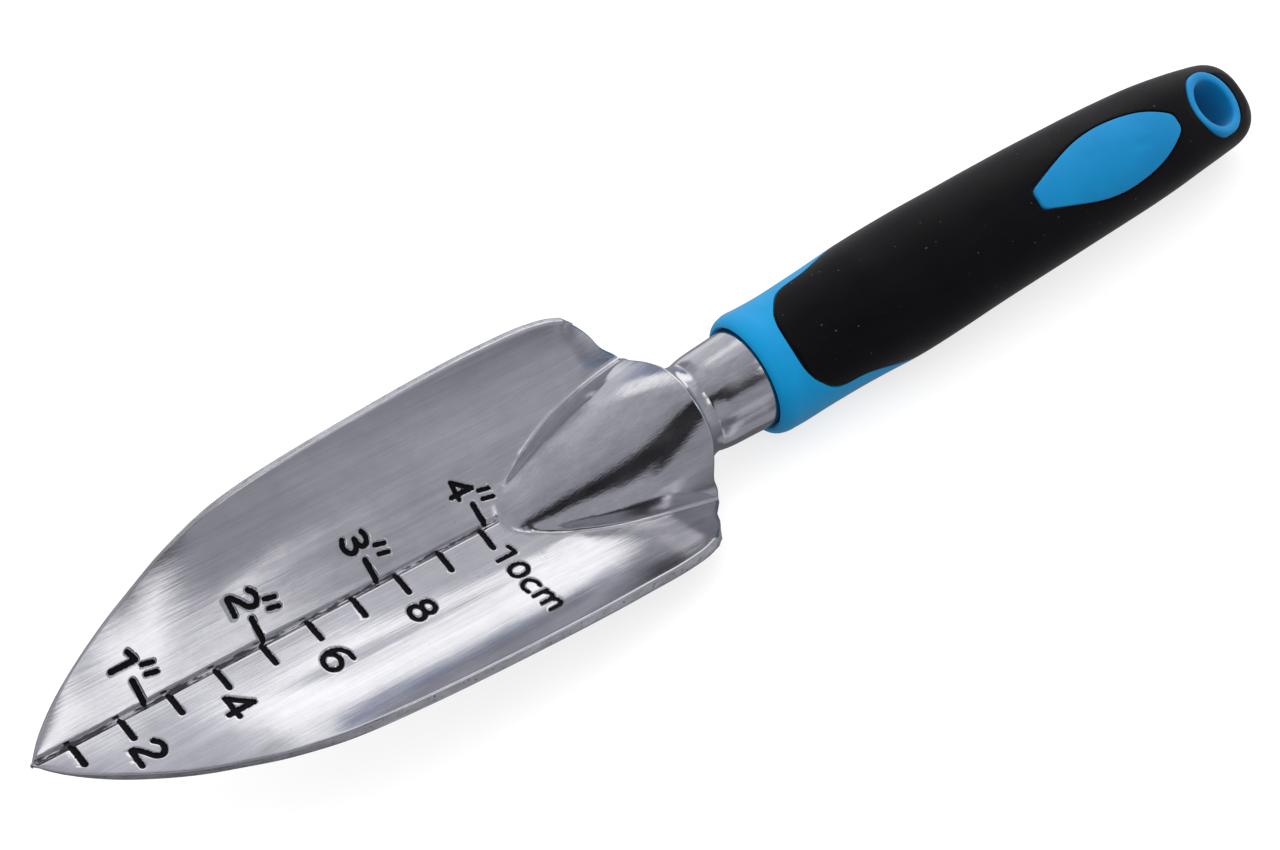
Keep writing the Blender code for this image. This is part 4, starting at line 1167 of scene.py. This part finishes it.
lens = bpy.data.cameras.new("photo_camera")
lens.sensor_width = 36.0
lens.sensor_fit = "HORIZONTAL"
lens.lens = 2800 / 1280 * 36.0
lens.clip_start = 0.01
lens.clip_end = 100
camera = bpy.data.objects.new("photo_camera", lens)
bpy.context.scene.collection.objects.link(camera)
camera.matrix_world = blade_camera()
bpy.context.scene.camera = camera


def add_floor():
    made, n, shader = new_look("pale_floor")
    speck = n.noise(n.coordinates(scale=(1, 1, 1)), 60, 3, 0.5)
    n.put(shader["Base Color"], n.mix(n.spread(speck, 0.3, 0.7, 0.0, 1.0), (0.27, 0.27, 0.272, 1), (0.28, 0.28, 0.282, 1)))
    shader["Emission Color"].default_value = (1.0, 1.0, 1.0, 1.0)
    shader["Emission Strength"].default_value = 0.71
    shader["Roughness"].default_value = 0.9
    shader["Specular IOR Level"].default_value = 0.1
    mesh = bpy.data.meshes.new("floor")
    size = 4.0
    mesh.from_pydata([(-size, -size, 0), (size, -size, 0), (size, size, 0), (-size, size, 0)], [], [(0, 1, 2, 3)])
    mesh.materials.append(made)
    floor = bpy.data.objects.new("floor", mesh)
    bpy.context.scene.collection.objects.link(floor)
    floor.visible_glossy = False
    floor.visible_diffuse = False


def add_studio():
    """A light tent: an even pale ceiling for the soft light, and walls with one
    bright side and a few dark gaps that the metal mirrors."""
    world = bpy.data.worlds.new("studio")
    world.use_nodes = True
    bpy.context.scene.world = world
    tree = world.node_tree
    tree.nodes.clear()
    n = Nodes(tree)
    way = n.add("TexCoord").outputs["Generated"]
    split = n.add("SeparateXYZ")
    n.put(split.inputs[0], way)
    x, y, z = split.outputs
    degrees = 180 / math.pi
    elevation = n.math("MULTIPLY", n.math("ARCSINE", z), degrees)
    # Azimuth 0 is along -Y and 90 along +X; each band has its own zero.
    turns = {}

    def azimuth_band(low, high, soft):
        middle = (low + high) / 2
        key = round(middle)
        if key not in turns:
            a = math.radians(key - 90)
            across = n.math("SUBTRACT", n.math("MULTIPLY", y, math.cos(a)), n.math("MULTIPLY", x, math.sin(a)))
            ahead = n.math("ADD", n.math("MULTIPLY", x, math.cos(a)), n.math("MULTIPLY", y, math.sin(a)))
            turns[key] = n.math("MULTIPLY", n.math("ARCTAN2", across, ahead), degrees)
        low, high = low - key, high - key
        return n.math("MULTIPLY", n.step(turns[key], low - soft, low + soft), n.step(turns[key], high + soft, high - soft))

    def elevation_band(low, high, soft):
        return n.math("MULTIPLY", n.step(elevation, low - soft, low + soft), n.step(elevation, high + soft, high - soft))

    def patch(level, az, el, value, soft_az, soft_el):
        share = n.math("MULTIPLY", azimuth_band(*az, soft_az), elevation_band(*el, soft_el))
        return n.blend(share, level, value)

    mirror = n.math("ADD", n.spread(elevation, -45, -10, 0.15, 0.41), n.spread(elevation, 50, 85, 0.0, 0.11))
    for az, el, value, soft_az, soft_el in MIRRORED:
        mirror = patch(mirror, az, el, value, soft_az, soft_el)
    # The dimmer parts are cooler, most of all the strip beside the bright side.
    cool = n.mix(n.spread(mirror, 0.35, 1.3, 0.0, 1.0), (0.985, 0.99, 1.11, 1), (1.0, 1.0, 1.0, 1))
    strip = n.math("MULTIPLY", azimuth_band(138.6, 150, 1.5), elevation_band(-14, 43, 3))
    cool = n.mix(n.math("MULTIPLY", strip, n.step(mirror, 1.0, 0.6)), cool, (0.89, 0.98, 1.29, 1))
    soft = n.spread(z, -0.5, 1.0, 0.55, 1.8)
    soft = patch(soft, (60, 210), (10, 90), 2.4, 40, 15)

    def background(level, tint):
        made = n.add("Background")
        n.put(made.inputs["Color"], n.scale_colour(tint, level))
        return made.outputs[0]

    ray = n.add("LightPath")
    glossy = n.add("MixShader")
    n.put(glossy.inputs[0], ray.outputs["Is Glossy Ray"])
    n.put(glossy.inputs[1], background(soft, (1.0, 1.0, 1.0)))
    n.put(glossy.inputs[2], background(mirror, cool))
    plain = n.add("Background")
    plain.inputs["Color"].default_value = (1, 1, 1, 1)
    both = n.add("MixShader")
    n.put(both.inputs[0], ray.outputs["Is Camera Ray"])
    n.put(both.inputs[1], glossy.outputs[0])
    n.put(both.inputs[2], plain.outputs[0])
    out = n.add("OutputWorld")
    n.put(out.inputs[0], both.outputs[0])


# What the metal mirrors: (azimuth, elevation, level, softness of each), degrees.
MIRRORED = [
    ((30, 80), (-8, 66), 0.48, 9, 8),
    ((14, 60), (-78, -46), 0.42, 4, 6),
    ((76, 122), (34, 61), 0.72, 7, 5),
    ((96, 116), (57, 68), 0.68, 4, 3),
    ((110, 141), (59, 72), 0.72, 5, 3),
    ((150, 182), (56, 86), 0.66, 4, 4),
    ((104, 142), (12.5, 36), 1.60, 3, 1.2),
    ((117, 140), (30, 57), 1.66, 4, 3),
    ((139.6, 149), (22, 41), 0.36, 0.8, 2),
    ((143, 152), (41, 62), 1.50, 1.5, 3),
    ((136, 150), (-14, 12.5), 0.34, 1.5, 1.2),
    ((142, 149), (-14, 20), 0.38, 1.0, 3),
    ((149, 163), (12, 62), 0.76, 1.2, 3),
    ((152, 163), (-9, 14), 0.98, 1.5, 3),
    ((163, 178), (29, 60), 0.46, 2, 3),
    ((163, 179), (2, 29), 0.28, 1.5, 3),
    ((37, 48), (50, 60), 2.00, 2, 2),
    ((22, 35), (33, 47), 1.80, 2, 2),
    ((3, 18), (-62, -30), 0.72, 3, 6),
    ((3, 15), (-24, -6), 0.70, 2, 3),
    ((-13, -2), (-42, 2), 0.36, 2, 3),
    ((-22, 24), (54, 70), 0.42, 3, 4),
    ((-8, 10), (-30, -12), 0.22, 2, 3),
    ((-18, 5), (-3, 30), 0.46, 2, 4),
    ((5, 18), (-3, 20), 0.40, 2, 4),
    ((-20, -2), (37, 54), 0.02, 1.5, 2.5),
    ((-7, 9), (31, 53), 0.03, 1.5, 2.5),
    ((3, 19), (23, 53), 0.03, 1.5, 2.5),
]
add_floor()
add_studio()

view = bpy.context.scene.view_settings
view.view_transform = "Standard"
view.look = "None"
view.exposure = 0.0
view.gamma = 1.0
